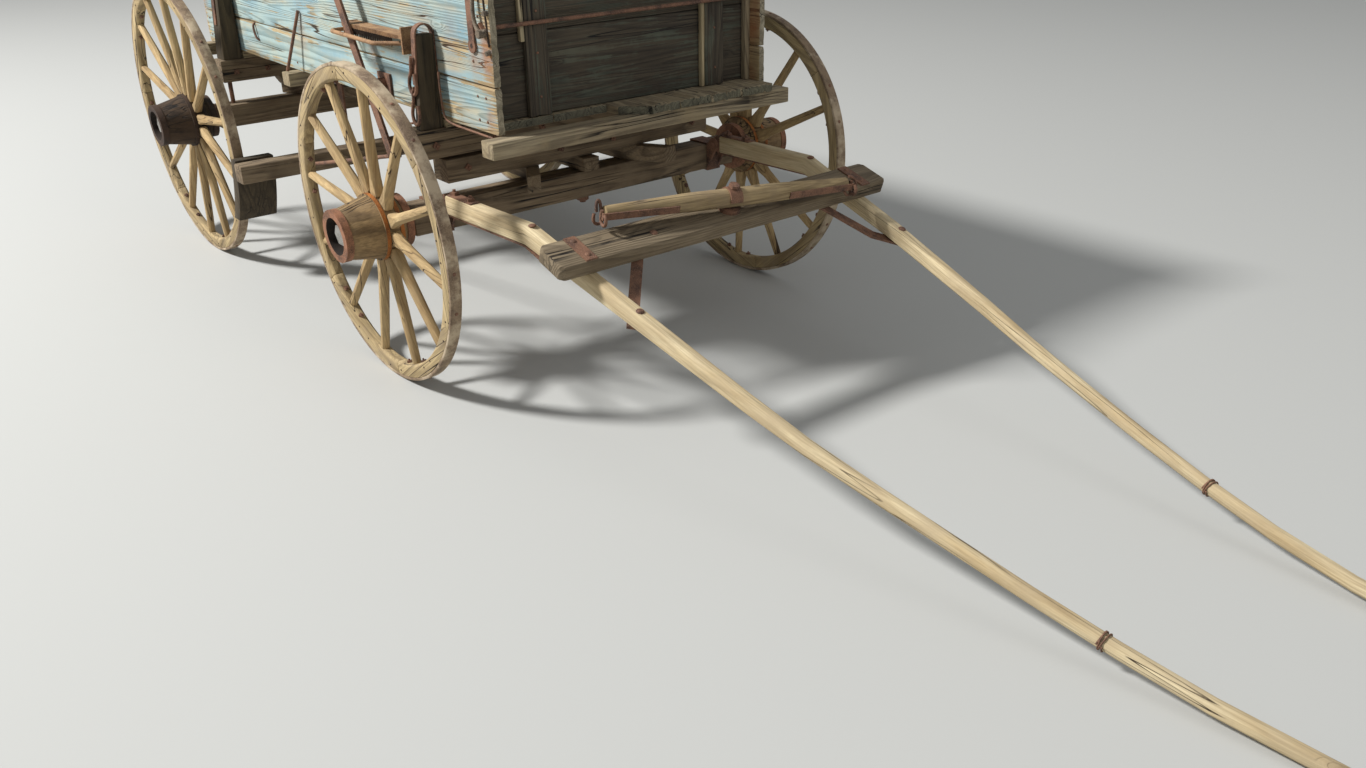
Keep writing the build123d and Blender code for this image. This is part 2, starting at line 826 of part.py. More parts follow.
# Tailgate: the same at the back, loose between its guides so that it lifts out
tailgate_rear = box_rear + tailgate_setback
with BuildPart() as tailgate:
    block(
        (tailgate_rear, tailgate_rear + board_thickness),
        (-box_inner + tailgate_play, box_inner - tailgate_play),
        (floor_top + running_gap, floor_top + gate_height),
    )
    for seam in gate_seams:
        with Locations((tailgate_rear, 0, floor_top + seam)):
            Box(2 * board_groove, 2 * box_inner, board_groove, mode=Mode.SUBTRACT)
    for side in (-1, 1):
        block(
            (tailgate_rear - gate_cleat_thickness, tailgate_rear),
            (side * gate_cleat_at - gate_cleat_width / 2, side * gate_cleat_at + gate_cleat_width / 2),
            (floor_top + running_gap, floor_top + gate_height - gate_cleat_short),
        )
keep(tailgate, "tailgate")

# Gate guides: upright strips inside the box on both faces of each gate
with BuildPart() as gate_guides:
    guide = gate_cleat_thickness
    for low in (
        gate_front,
        gate_front - board_thickness - guide,
        tailgate_rear - tailgate_play - guide,
        tailgate_rear + board_thickness + tailgate_play,
    ):
        for side in (-1, 1):
            edges = sorted((side * box_inner, side * (box_inner - guide)))
            block((low, low + guide), edges, (floor_top, box_top - guide_drop))
keep(gate_guides, "gate_guides")

# Box irons: the cross rods with their nuts, edge straps, side braces and staples
with BuildPart() as box_irons:
    for rod_x in (front_rod_x, rear_rod_x):
        rod_half = box_half_width + rod_end
        bar((rod_x, -rod_half, rod_z), (rod_x, rod_half, rod_z), rod_radius)
        for side in (-1, 1):
            nut_plane = Plane(origin=(rod_x, side * box_half_width, rod_z), z_dir=(0, side, 0))
            with BuildSketch(nut_plane):
                RegularPolygon(rod_nut, 4, major_radius=False)
            extrude(amount=rod_nut_length)
    # flat straps up the corners of the sides, round at the lower end and bored there
    strap_z = floor_bottom + strap_low
    strap_run = box_top - strap_drop - strap_z
    for side in (-1, 1):
        for strap_x in (box_front - strap_from_end, box_rear + strap_from_end):
            strap_plane = Plane(
                origin=(strap_x, side * box_half_width, strap_z), x_dir=(0, 0, 1), z_dir=(0, side, 0)
            )
            with BuildSketch(strap_plane):
                with Locations((strap_run / 2, 0)):
                    SlotOverall(strap_run, strap_width)
                with Locations((strap_width / 2, 0)):
                    Circle(strap_hole_radius, mode=Mode.SUBTRACT)
            extrude(amount=strap_thickness)
        # a round brace from the end of the middle sill up to the side
        brace_top = (
            mid_sill_x + side_brace_lean,
            side * (box_half_width + rod_radius + running_gap),
            floor_bottom + side_brace_height,
        )
        brace_foot = (mid_sill_x, side * (sill_half_length - 2 * rod_radius), floor_bottom + rod_radius)
        bar(brace_foot, brace_top, rod_radius)
keep(box_irons, "box_irons")

# Brake shoes, hollowed to the rear tyres, on a cross beam that two hangers carry
shoe_width = shoe_inboard + shoe_outboard
beam_half_length = half_track + shoe_outboard + brake_beam_end
wheel_z = hub_height(rear_wheel_radius)
with BuildPart() as brake_shoes:
    for side in (-1, 1):
        inner_face = min(side * (half_track - shoe_inboard), side * (half_track + shoe_outboard))
        with BuildSketch(Plane.XZ.offset(-inner_face - shoe_width)):
            with Locations((rear_axle_x, wheel_z)):
                Circle(shoe_inner + shoe_thickness)
                Circle(shoe_inner, mode=Mode.SUBTRACT)
            with Locations(((rear_axle_x + beam_rear) / 2, (shoe_low + shoe_high) / 2)):
                Rectangle(beam_rear - rear_axle_x, shoe_high - shoe_low, mode=Mode.INTERSECT)
        extrude(amount=shoe_width)
keep(brake_shoes, "brake_shoes")

with BuildPart() as brake_beam:
    block(
        (beam_rear, beam_front),
        (-beam_half_length, beam_half_length),
        (brake_beam_height - brake_beam_size / 2, brake_beam_height + brake_beam_size / 2),
    )
    chamfer(brake_beam.edges().filter_by(Axis.Y), brake_beam_chamfer)
keep(brake_beam, "brake_beam")

lever_y = box_half_width + rack_reach + lever_gap + lever_thickness / 2
lever_foot = (front_axle_x - lever_foot_behind_axle, lever_foot_height)
lever_top = (front_axle_x - lever_top_behind_axle, lever_top_height)
lever_run = lever_top[0] - lever_foot[0]
lever_rise = lever_top[1] - lever_foot[1]
lever_inner = -lever_y + lever_thickness / 2 + running_gap
pivot_x = lever_foot[0] + lever_pivot_share * lever_run
pivot_z = lever_foot[1] + lever_pivot_share * lever_rise
pin_x = lever_foot[0] + lever_pin_share * lever_run
pin_z = lever_foot[1] + lever_pin_share * lever_rise
rod_y = -lever_y + pull_rod_inboard
with BuildPart() as brake_irons:
    for side in (-1, 1):
        middle = side * hanger_at
        block(
            (mid_sill_x - hanger_width / 2, mid_sill_x + hanger_width / 2),
            (middle - hanger_thickness / 2, middle + hanger_thickness / 2),
            (brake_beam_height + brake_beam_size / 2, floor_bottom - sill_height),
        )
        block(
            (mid_sill_x - sill_width / 2, mid_sill_x + sill_width / 2),
            (middle - hanger_foot / 2, middle + hanger_foot / 2),
            (floor_bottom - sill_height - hanger_thickness, floor_bottom - sill_height),
        )
    rod_start = beam_front + pull_rod_radius / 4
    bar((rod_start, rod_y, brake_beam_height), (pin_x, rod_y, pin_z), pull_rod_radius)
    bar((pin_x, rod_y + 1.5 * pull_rod_radius, pin_z), (pin_x, lever_inner, pin_z), lever_pin_radius)
    block(
        (pivot_x - pivot_plate / 2, pivot_x + pivot_plate / 2),
        (-box_half_width - pivot_plate_thickness, -box_half_width),
        (pivot_z - pivot_plate_height / 2, pivot_z + pivot_plate_height / 2),
    )
    bar((pivot_x, -box_half_width, pivot_z), (pivot_x, lever_inner, pivot_z), lever_pivot_radius)
keep(brake_irons, "brake_irons")

# Brake lever: a long flat iron beside the box
with BuildPart() as brake_lever:
    lever_plane = Plane(
        origin=(lever_foot[0], -lever_y, lever_foot[1]),
        x_dir=(lever_run, 0, lever_rise),
        z_dir=(0, -1, 0),
    )
    with BuildSketch(lever_plane.offset(-lever_thickness / 2)):
        with Locations((hypot(lever_run, lever_rise) / 2, 0)):
            SlotOverall(hypot(lever_run, lever_rise), lever_width)
    extrude(amount=lever_thickness)
keep(brake_lever, "brake_lever")

# Brake rack: a toothed iron ledge on the box side, with a round guard outside the lever
rack_rear_x = front_axle_x - rack_behind_axle
rack_front_x = rack_rear_x + rack_length
rack_z = floor_bottom + rack_height
tooth_count = int(rack_length / rack_pitch)
with BuildPart() as brake_rack:
    root_y = -box_half_width - rack_reach + rack_tooth
    teeth = [(rack_rear_x, -box_half_width), (rack_rear_x, root_y)]
    for index in range(tooth_count):
        tooth_x = rack_rear_x + index * rack_pitch
        teeth += [(tooth_x + rack_tooth_lean, root_y - rack_tooth), (tooth_x + rack_pitch, root_y)]
    teeth += [(rack_front_x, root_y), (rack_front_x, -box_half_width)]
    with BuildSketch(Plane.XY.offset(rack_z - rack_thickness / 2)):
        Polygon(*teeth, align=None)
    extrude(amount=rack_thickness)
    block(
        (rack_front_x, rack_front_x + rack_plate_thickness),
        (root_y, -box_half_width),
        (rack_z - rack_front_drop, rack_z + rack_front_rise),
    )
    block(
        (rack_rear_x - rack_plate_thickness, rack_rear_x),
        (root_y, -box_half_width),
        (rack_z - rack_rear_drop, rack_z + rack_rear_rise),
    )
    guard_z = rack_z - guard_drop
    guard_out = -lever_y - lever_thickness / 2 - guard_gap
    with BuildLine(Plane.XY.offset(guard_z)) as guard_path:
        FilletPolyline(
            (rack_rear_x - guard_rear_foot, -box_half_width),
            (rack_rear_x - guard_rear_corner, guard_out),
            (rack_front_x - guard_front_corner, guard_out - guard_splay),
            (rack_front_x + guard_front_foot, -box_half_width),
            radius=guard_bend,
        )
    with BuildSketch(Plane(origin=guard_path.line @ 0, z_dir=guard_path.line % 0)):
        Circle(guard_radius)
    sweep(path=guard_path.line)
    # the guard's ends are trimmed to the face of the board
    with BuildSketch(Plane.XZ.offset(box_inner)):
        with Locations(((rack_rear_x + rack_front_x) / 2, rack_z)):
            Rectangle(2 * rack_length, rack_height)
    extrude(amount=board_thickness, mode=Mode.SUBTRACT)
keep(brake_rack, "brake_rack")

# Shafts: bent poles, square at the heel and round at the tip


def shaft_run(ahead):
    """Half the spacing, height of the top and depth where the shafts run straight at the crossbar."""
    start, end = shaft_stations[1], shaft_stations[2]
    share = (ahead - start[0]) / (end[0] - start[0])
    out, top, _, deep = [a + (b - a) * share for a, b in zip(start[1:5], end[1:5])]
    return out, top, deep


with BuildPart() as right_shaft:
    for ahead, out, top, wide, deep, corner in shaft_stations:
        section_plane = Plane(
            origin=(front_axle_x + ahead, -out, top - deep / 2), x_dir=(0, 1, 0), z_dir=(1, 0, 0)
        )
        with BuildSketch(section_plane) as section:
            Rectangle(wide, deep)
            chamfer(section.vertices(), corner)
    loft(ruled=True)
keep(right_shaft, "right_shaft")

with BuildPart() as left_shaft:
    mirror(right_shaft.part, about=Plane.XZ)
keep(left_shaft, "left_shaft")

# Crossbar: a plank on top of both shafts
slope = atan2(shaft_stations[1][2] - shaft_stations[2][2], shaft_stations[2][0] - shaft_stations[1][0])
crossbar_out, crossbar_z, _ = shaft_run(crossbar_ahead)
bar_plane = Plane(
    origin=(front_axle_x + crossbar_ahead, 0, crossbar_z),
    x_dir=(cos(slope), 0, -sin(slope)),
    z_dir=(sin(slope), 0, cos(slope)),
)
with BuildPart() as crossbar:
    with BuildSketch(bar_plane) as plank:
        Rectangle(crossbar_width, 2 * crossbar_half_length)
        chamfer(plank.vertices(), crossbar_corner)
    extrude(amount=crossbar_thickness)
keep(crossbar, "crossbar")

# Shaft irons: the eyes at the heels, with their straps, and the plates and braces at the crossbar
heel_x = front_axle_x + shaft_stations[0][0]
heel_top = shaft_stations[0][2]
heel_low = heel_top - shaft_stations[0][4]
bend_x = front_axle_x + shaft_stations[1][0]
bend_low = shaft_stations[1][2] - shaft_stations[1][4]
low_slope = (bend_low - (shaft_stations[2][2] - shaft_stations[2][4])) / (
    shaft_stations[2][0] - shaft_stations[1][0]
)
strap_end = bend_x + heel_strap_run
spacer_height = singletree_lift - singletree_radius - running_gap
pin_top = singletree_lift + singletree_radius + clip_thickness + singletree_pin_proud
brace_out, _, _ = shaft_run(brace_foot_ahead)
_, _, brace_deep = shaft_run(brace_foot_ahead - brace_toe_bend)
brace_drop = brace_deep * cos(slope) + brace_seat_gap
with BuildPart() as shaft_irons:
    for side in (-1, 1):
        middle = side * coupling_at
        with BuildSketch(Plane.XZ.offset(-middle - coupling_eye_width / 2)):
            with BuildLine():
                CenterArc((coupling_x, coupling_height), coupling_eye_radius, 0, 360)
                Line((heel_x, heel_low - strap_thickness), (heel_x, heel_top + strap_thickness))
            make_hull()
        extrude(amount=coupling_eye_width)
        with BuildSketch(Plane.XZ.offset(-side * (coupling_at - heel_strap_inset) - heel_strap_width / 2)):
            Polygon(
                (heel_x, heel_low),
                (bend_x, bend_low),
                (strap_end, bend_low - low_slope * (strap_end - bend_x)),
                (strap_end, bend_low - low_slope * (strap_end - bend_x) - strap_thickness),
                (bend_x, bend_low - strap_thickness),
                (heel_x, heel_low - strap_thickness),
                align=None,
            )
        extrude(amount=heel_strap_width)
        with BuildSketch(Plane.XZ.offset(-middle - coupling_eye_width / 2)):
            with Locations((coupling_x, coupling_height)):
                Circle(coupling_pin_radius + running_gap)
        extrude(amount=coupling_eye_width, mode=Mode.SUBTRACT)
        with BuildSketch(bar_plane.offset(crossbar_thickness)):
            with Locations((0, side * crossbar_out)):
                Rectangle(shaft_plate_length, shaft_plate_width)
        extrude(amount=shaft_plate_thickness)
    with BuildSketch(bar_plane.offset(crossbar_thickness)):
        Circle(spacer_radius)
    extrude(amount=spacer_height)
    with BuildSketch(bar_plane.offset(crossbar_thickness)):
        Circle(singletree_pin_radius)
    extrude(amount=pin_top)
    with BuildSketch(bar_plane.offset(crossbar_thickness + pin_top)):
        RegularPolygon(singletree_nut, 6, major_radius=False)
    extrude(amount=singletree_nut_height)
    # diagonal braces from under the crossbar out to the shafts
    for side in (-1, 1):
        start = Vector(brace_start_ahead, side * brace_inboard, 0)
        foot_y = side * (brace_out - brace_foot_inset)
        foot = Vector((brace_foot_ahead - crossbar_ahead) / cos(slope), foot_y, 0)
        reach_out = (foot - start).length
        begin = bar_plane.from_local_coords(start)
        way = bar_plane.from_local_coords(foot) - begin
        brace_plane = Plane(origin=begin, x_dir=way, z_dir=bar_plane.z_dir.cross(way))
        with BuildSketch(brace_plane.offset(-brace_width / 2)):
            Polygon(
                (-brace_heel, 0),
                (-brace_heel, brace_thickness),
                (brace_heel_bend, brace_thickness),
                (reach_out - brace_toe_bend, brace_drop + brace_thickness),
                (reach_out + brace_toe, brace_drop + brace_thickness),
                (reach_out + brace_toe, brace_drop),
                (reach_out - brace_toe_bend + brace_bend, brace_drop),
                (brace_heel_bend - brace_bend, 0),
                align=None,
            )
        extrude(amount=brace_width)
keep(shaft_irons, "shaft_irons")

# Singletree: a turned bar that swings on the crossbar's pin
tree_plane = turned(bar_plane.offset(crossbar_thickness + singletree_lift), singletree_angle)
with BuildPart() as singletree:
    with BuildSketch(tree_plane):
        Polygon(
            (0, -singletree_half_length),
            (singletree_end_radius, -singletree_half_length),
            (singletree_radius, -singletree_half_length / 3),
            (singletree_radius, singletree_half_length / 3),
            (singletree_end_radius, singletree_half_length),
            (0, singletree_half_length),
            align=None,
        )
    revolve(axis=Axis(tree_plane.origin, tree_plane.y_dir))
    with BuildSketch(tree_plane.offset(-singletree_radius - cut_over)):
        Circle(singletree_pin_radius + running_gap)
    extrude(amount=2 * (singletree_radius + cut_over), mode=Mode.SUBTRACT)
keep(singletree, "singletree")

# Singletree irons: the clip over its middle, and a strap and an open hook at each end
with BuildPart() as singletree_irons:
    across = Plane(origin=tree_plane.origin, x_dir=tree_plane.x_dir, z_dir=tree_plane.y_dir)
    with BuildSketch(across.offset(-clip_width / 2)):
        Circle(singletree_radius + running_gap + clip_thickness)
        Circle(singletree_radius + running_gap, mode=Mode.SUBTRACT)
        with Locations((0, singletree_radius)):
            Rectangle(4 * singletree_radius, 2 * singletree_radius, mode=Mode.SUBTRACT)
    extrude(amount=clip_width)
    with BuildSketch(tree_plane):
        Circle(singletree_pin_radius + running_gap + fit_gap)
    extrude(amount=2 * singletree_radius, mode=Mode.SUBTRACT)
    for side in (-1, 1):
        end = side * singletree_half_length
        root = end - side * hook_strap_length
        turn_in = end + side * (hook_strap_turn - hook_strap_thickness)
        taper = (singletree_radius - singletree_end_radius) / (singletree_half_length * 2 / 3)
        near_end = singletree_end_radius + running_gap
        near_root = near_end + taper * hook_strap_length
        with BuildSketch(tree_plane.offset(-hook_strap_width / 2)):
            Polygon(
                (near_end, end),
                (near_root, root),
                (near_root + hook_strap_thickness, root),
                (near_end + hook_strap_thickness, end + side * hook_strap_turn),
                (0, end + side * hook_strap_turn),
                (0, turn_in),
                (near_end, turn_in),
                align=None,
            )
        extrude(amount=hook_strap_width)
        hook_plane = Plane(
            origin=tree_plane.from_local_coords(
                (singletree_end_radius / 2, turn_in + side * hook_wire / 2, 0)
            ),
            x_dir=tree_plane.x_dir,
            z_dir=-tree_plane.y_dir,
        )
        with BuildLine(hook_plane) as hook_path:
            Line((0, 2 * hook_shank), (0, -hook_shank))
            CenterArc((hook_radius, -hook_shank), hook_radius, 180, hook_sweep)
        with BuildSketch(Plane(origin=hook_path.line @ 0, z_dir=hook_path.line % 0)):
            Circle(hook_wire)
        sweep(path=hook_path.line)
keep(singletree_irons, "singletree_irons")
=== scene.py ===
# An old one-horse farm wagon: a plank box on wooden running gear, with its shafts on the ground.
# Metres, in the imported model's frame: +X forwards, +Y the wagon's left, +Z up, the ground at z = 0.
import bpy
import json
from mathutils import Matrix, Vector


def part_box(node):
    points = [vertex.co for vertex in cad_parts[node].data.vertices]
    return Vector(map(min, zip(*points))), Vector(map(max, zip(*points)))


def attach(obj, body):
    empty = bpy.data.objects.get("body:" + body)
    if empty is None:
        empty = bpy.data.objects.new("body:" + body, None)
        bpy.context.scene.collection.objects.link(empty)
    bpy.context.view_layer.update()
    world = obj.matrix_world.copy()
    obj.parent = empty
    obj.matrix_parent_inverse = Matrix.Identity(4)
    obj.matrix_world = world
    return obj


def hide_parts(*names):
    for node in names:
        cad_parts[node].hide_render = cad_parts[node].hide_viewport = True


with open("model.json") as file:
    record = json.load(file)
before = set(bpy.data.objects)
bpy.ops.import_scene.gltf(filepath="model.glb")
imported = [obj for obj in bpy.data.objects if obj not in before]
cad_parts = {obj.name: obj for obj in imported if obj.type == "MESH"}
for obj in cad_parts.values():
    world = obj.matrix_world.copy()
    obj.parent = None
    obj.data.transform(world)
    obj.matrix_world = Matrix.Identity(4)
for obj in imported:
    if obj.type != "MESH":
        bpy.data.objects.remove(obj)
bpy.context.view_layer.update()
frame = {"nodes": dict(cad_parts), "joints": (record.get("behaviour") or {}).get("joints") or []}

import itertools
import json
import math
import random

import bmesh
import bpy
from mathutils import Matrix, Vector, noise

nodes = frame["nodes"]

# Wheels
# Ash spokes and felloes on an elm hub, bare and bleached, with wrought iron bands and a flat iron tyre.
# The spokes are shaved round from a wedge foot, and the felloes are sawn and butt against each other.


def linear(code):
    """An sRGB hex colour as Blender's linear values."""
    parts = [int(code[i:i + 2], 16) / 255 for i in (1, 3, 5)]
    return [p / 12.92 if p <= 0.04045 else ((p + 0.055) / 1.055) ** 2.4 for p in parts] + [1.0]


def feed(node, inputs):
    """Sets a node's inputs, each to a value or to another node's output."""
    for key, value in inputs.items() if isinstance(inputs, dict) else enumerate(inputs):
        if isinstance(value, bpy.types.NodeSocket):
            node.id_data.links.new(value, node.inputs[key])
        else:
            node.inputs[key].default_value = value


def add(tree, kind, inputs=(), settings=(), out=None):
    """Adds a node with its settings and inputs. It gives the output asked for, or else the first in use."""
    made = tree.nodes.new("ShaderNode" + kind)
    for key, value in dict(settings).items():
        setattr(made, key, value)
    feed(made, inputs)
    return next(end for end in made.outputs if end.enabled) if out is None else made.outputs[out]


# settings that many of the finishes' nodes share
times = {"operation": "MULTIPLY"}
times_plus = {"operation": "MULTIPLY_ADD"}
eased = {"interpolation_type": "SMOOTHSTEP"}
colours = {"data_type": "RGBA"}


def finish_named(name):
    """An empty finish: its node tree and its surface."""
    material = bpy.data.materials.new(name)
    material.use_nodes = True
    tree = material.node_tree
    return material, tree, tree.nodes["Principled BSDF"]


def wood_figure(tree, rings, check_width, swells=(0.8, 7.0, 7.0)):
    """The figure of old timber, laid along the piece's own grain: year rings, fibres, checks and knots."""
    grain = add(tree, "Attribute", (), {"attribute_name": "grain"}, out="Vector")
    figure = {"grain": grain}
    for part, stretch, detail, roughness, distortion in (
        # year rings are the level lines of a slow swell, which close into long loops as on sawn boards
        ("swell", swells, 1.2, 0.4, 0.25),
        # fibres are under a millimetre wide; they are drawn at 4 mm so that they show
        ("fibres", (8, 250, 250), 3.0, 0.6, 0.0),
        # weathering, in streaks a span long and two fingers wide
        ("drift", (3.5, 24, 24), 4.0, 0.6, 0.0),
        # drying checks, in groups: thin lines where a long stretched noise crosses its middle value
        ("wander", (1.3, 44, 44), 0.6, 0.5, 0.0),
        ("groups", (1.9, 8, 8), 1.0, 0.5, 0.0),
    ):
        place = add(tree, "VectorMath", (grain, stretch), times)
        figure[part] = add(tree, "TexNoise", {"Vector": place, "Scale": 1.0, "Detail": detail,
                                              "Roughness": roughness, "Distortion": distortion})
    # knots 25 mm across, one in every few hand spans; the rings bend round them
    at_knots = add(tree, "VectorMath", (grain, (2.3, 7.5, 7.5)), times)
    cells = add(tree, "TexVoronoi", {"Vector": at_knots, "Scale": 1.0})
    figure["knots"] = add(tree, "MapRange", (cells, 0.04, 0.15, 1.0, 0.0), eased)
    bend = add(tree, "Math", (figure["knots"], 2.0), times)
    turns = add(tree, "Math", (figure["swell"], rings, bend), times_plus)
    year = add(tree, "Math", (turns,), {"operation": "FRACT"})
    late = add(tree, "MapRange", (year, 0.3, 0.88), eased)
    end = add(tree, "MapRange", (year, 0.9, 1.0, 1.0, 0.0))
    figure["ring"] = add(tree, "Math", (late, end), times)
    off = add(tree, "Math", (figure["wander"], 0.5), {"operation": "SUBTRACT"})
    size = add(tree, "Math", (off,), {"operation": "ABSOLUTE"})
    line = add(tree, "MapRange", (size, check_width * 0.35, check_width, 1.0, 0.0))
    where = add(tree, "MapRange", (figure["groups"], 0.47, 0.57))
    figure["checks"] = add(tree, "Math", (line, where), times)
    # each part has a number in the tens of metres of its grain, which gives it a tone of its own
    length = add(tree, "SeparateXYZ", (grain,), out="X")
    tens = add(tree, "Math", (length, 10.0), {"operation": "DIVIDE"})
    number = add(tree, "Math", (tens,), {"operation": "ROUND"})
    figure["own"] = add(tree, "TexWhiteNoise", {"W": number}, {"noise_dimensions": "1D"})
    figure["along"] = add(tree, "Math", (number, -10.0, length), times_plus)
    return figure


def wood_colour(tree, figure, pale, brown, dark, ringed=0.4):
    """Bare timber's colour: pale to brown by weathering and piece, darker in rings, fibres and knots."""
    weather = add(tree, "MapRange", (figure["drift"], 0.34, 0.66))
    tone = add(tree, "Mix", {0: 0.35, 2: weather, 3: figure["own"]})
    colour = add(tree, "Mix", {0: tone, 6: linear(brown), 7: linear(pale)}, colours)
    late = add(tree, "Math", (figure["ring"], ringed), times)
    fine = add(tree, "MapRange", (figure["fibres"], 0.34, 0.62, 0.45, 0.0))
    knot = add(tree, "Math", (figure["knots"], 0.65), times)
    for share in (late, fine, knot):
        colour = add(tree, "Mix", {0: share, 6: colour, 7: linear(dark)}, colours)
    black = [c * 0.3 for c in linear(dark)[:3]] + [1.0]
    return add(tree, "Mix", {0: figure["checks"], 6: colour, 7: black}, colours)


def wood_relief(tree, figure, depth):
    """Late wood and fibres stand proud, and checks are open."""
    low = add(tree, "Math", (figure["checks"], -2.5, figure["fibres"]), times_plus)
    height = add(tree, "Math", (figure["ring"], 0.8, low), times_plus)
    return add(tree, "Bump", {"Strength": 0.9, "Distance": depth, "Height": height})


def bare_wood(name, pale, brown, dark, rings, check_width, ringed=0.4, dusty=None, foot=None):
    """Timber left out in the weather for years. It may be dusty in patches, and stained at the foot of
    each piece, as spokes are by the iron and grease of the hub."""
    material, tree, surface = finish_named(name)
    figure = wood_figure(tree, rings, check_width)
    colour = wood_colour(tree, figure, pale, brown, dark, ringed)
    place = add(tree, "TexCoord", out="Object")
    patch = add(tree, "TexNoise", {"Vector": place, "Scale": 9.0, "Detail": 6.0, "Roughness": 0.65})
    if dusty:
        share = add(tree, "MapRange", (patch, 0.47, 0.68, 0.0, 0.75))
        colour = add(tree, "Mix", {0: share, 6: colour, 7: linear(dusty)}, colours)
    if foot:
        near_foot = add(tree, "MapRange", (figure["along"], -0.18, -0.07, 0.85, 0.0))
        uneven = add(tree, "MapRange", (patch, 0.3, 0.6, 0.35, 1.0))
        stained = add(tree, "Math", (near_foot, uneven), times)
        colour = add(tree, "Mix", {0: stained, 6: colour, 7: linear(foot)}, colours)
    bump = wood_relief(tree, figure, 0.0011)
    feed(surface, {"Base Color": colour, "Roughness": 0.88, "IOR": 1.45, "Normal": bump})
    return material


def rusty_iron(name, deep, rust, dust, rubbed=None):
    """Wrought iron rusted all over: scale in patches 50 mm wide, grit of 3 mm and pits.
    Where it is rubbed, the rust is thin and the metal shows dull."""
    material, tree, surface = finish_named(name)
    place = add(tree, "TexCoord", out="Object")
    wide = add(tree, "TexNoise", {"Vector": place, "Scale": 20.0, "Detail": 6.0, "Roughness": 0.68})
    grit = add(tree, "TexNoise", {"Vector": place, "Scale": 330.0, "Detail": 3.0, "Roughness": 0.6})
    scale = add(tree, "MapRange", (wide, 0.36, 0.56))
    colour = add(tree, "Mix", {0: scale, 6: linear(deep), 7: linear(rust)}, colours)
    powder = add(tree, "MapRange", (grit, 0.5, 0.75, 0.0, 0.85))
    colour = add(tree, "Mix", {0: powder, 6: colour, 7: linear(dust)}, colours)
    if rubbed:
        rub = add(tree, "TexNoise", {"Vector": place, "Scale": 9.0, "Detail": 7.0, "Roughness": 0.7})
        share = add(tree, "MapRange", (rub, 0.46, 0.58, 0.0, 0.9))
        colour = add(tree, "Mix", {0: share, 6: colour, 7: linear(rubbed)}, colours)
    dull = add(tree, "MapRange", (grit, 0.3, 0.7, 0.62, 0.92))
    height = add(tree, "Math", (wide, grit))
    bump = add(tree, "Bump", {"Strength": 0.7, "Distance": 0.0008, "Height": height})
    feed(surface, {"Base Color": colour, "Roughness": dull, "Metallic": 0.15, "Normal": bump})
    return material


def placed(name, data):
    """A new object in the scene."""
    piece = bpy.data.objects.new(name, data)
    bpy.context.scene.collection.objects.link(piece)
    return piece


def hold(piece):
    """Selects one piece alone and makes it active."""
    bpy.ops.object.select_all(action="DESELECT")
    piece.select_set(True)
    bpy.context.view_layer.objects.active = piece


def smooth(piece, angle):
    """Shades a piece smoothly, but for edges sharper than an angle."""
    hold(piece)
    bpy.ops.object.shade_smooth_by_angle(angle=math.radians(angle))


def taken_from(node, name):
    """A piece from a copy of a CAD node's mesh, with its loose triangles joined."""
    piece = placed(name, nodes[node].data.copy())
    piece.data.materials.clear()
    hold(piece)
    bpy.ops.mesh.customdata_custom_splitnormals_clear()
    bpy.ops.object.mode_set(mode="EDIT")
    bpy.ops.mesh.select_all(action="SELECT")
    bpy.ops.mesh.remove_doubles(threshold=1e-5)
    bpy.ops.mesh.dissolve_limited(angle_limit=math.radians(0.8))
    bpy.ops.object.mode_set(mode="OBJECT")
    return piece


def soften(piece, width, angle=28):
    """Rounds the edges, as years of handling and weather do."""
    hold(piece)
    bevel = piece.modifiers.new("bevel", "BEVEL")
    bevel.width = width
    bevel.segments = 2
    bevel.limit_method = "ANGLE"
    bevel.angle_limit = math.radians(angle)
    bpy.ops.object.modifier_apply(modifier="bevel")
    smooth(piece, 42)


def loose_parts(mesh):
    """The vertex numbers of each separate part of a mesh."""
    parent = list(range(len(mesh.vertices)))

    def root(i):
        while parent[i] != i:
            parent[i] = parent[parent[i]]
            i = parent[i]
        return i

    for edge in mesh.edges:
        a, b = map(root, edge.vertices)
        parent[a] = b
    parts = {}
    for i in range(len(parent)):
        parts.setdefault(root(i), []).append(i)
    return list(parts.values())


piece_numbers = itertools.count(1)


def lay_grain(piece, along):
    """Gives each separate part its own grain: a place along it and across it, from its own middle."""
    mesh = piece.data
    values = [0.0] * (3 * len(mesh.vertices))
    for part in loose_parts(mesh):
        number = next(piece_numbers) % 97
        middle = sum((mesh.vertices[i].co for i in part), Vector()) / len(part)
        way = along(middle) if callable(along) else Vector(along)
        side = (0.2, 0.3, 0.93) if abs(way.z) < 0.8 else (0.9, 0.3, 0.2)
        across = way.cross(Vector(side)).normalized()
        other = way.cross(across)
        for i in part:
            offset = mesh.vertices[i].co - middle
            values[3 * i:3 * i + 3] = (10 * number + offset.dot(way), offset.dot(across) + 0.37 * number,
                                       offset.dot(other) - 0.21 * number)
    mesh.attributes.new("grain", "FLOAT_VECTOR", "POINT").data.foreach_set("vector", values)


def coat(piece, finishes, pick):
    """Gives a piece several finishes; pick says for each face which of them it takes."""
    for finish in finishes:
        piece.data.materials.append(finish)
    for face in piece.data.polygons:
        face.material_index = int(pick(face))


def settle(piece, material, body, slot, *stands_for):
    """Finishes a piece, lets it ride on its body and hides the nodes that it stands for."""
    if material:
        piece.data.materials.append(material)
    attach(piece, body)
    if stands_for:
        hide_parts(*stands_for)


def dressed(node, name, finish, body, slot, rounding, angle=28, grain=None):
    """A CAD node's piece, with rounded edges, its grain and its finish."""
    piece = taken_from(node, name)
    soften(piece, rounding, angle)
    if grain:
        lay_grain(piece, grain)
    settle(piece, finish, body, slot, node)


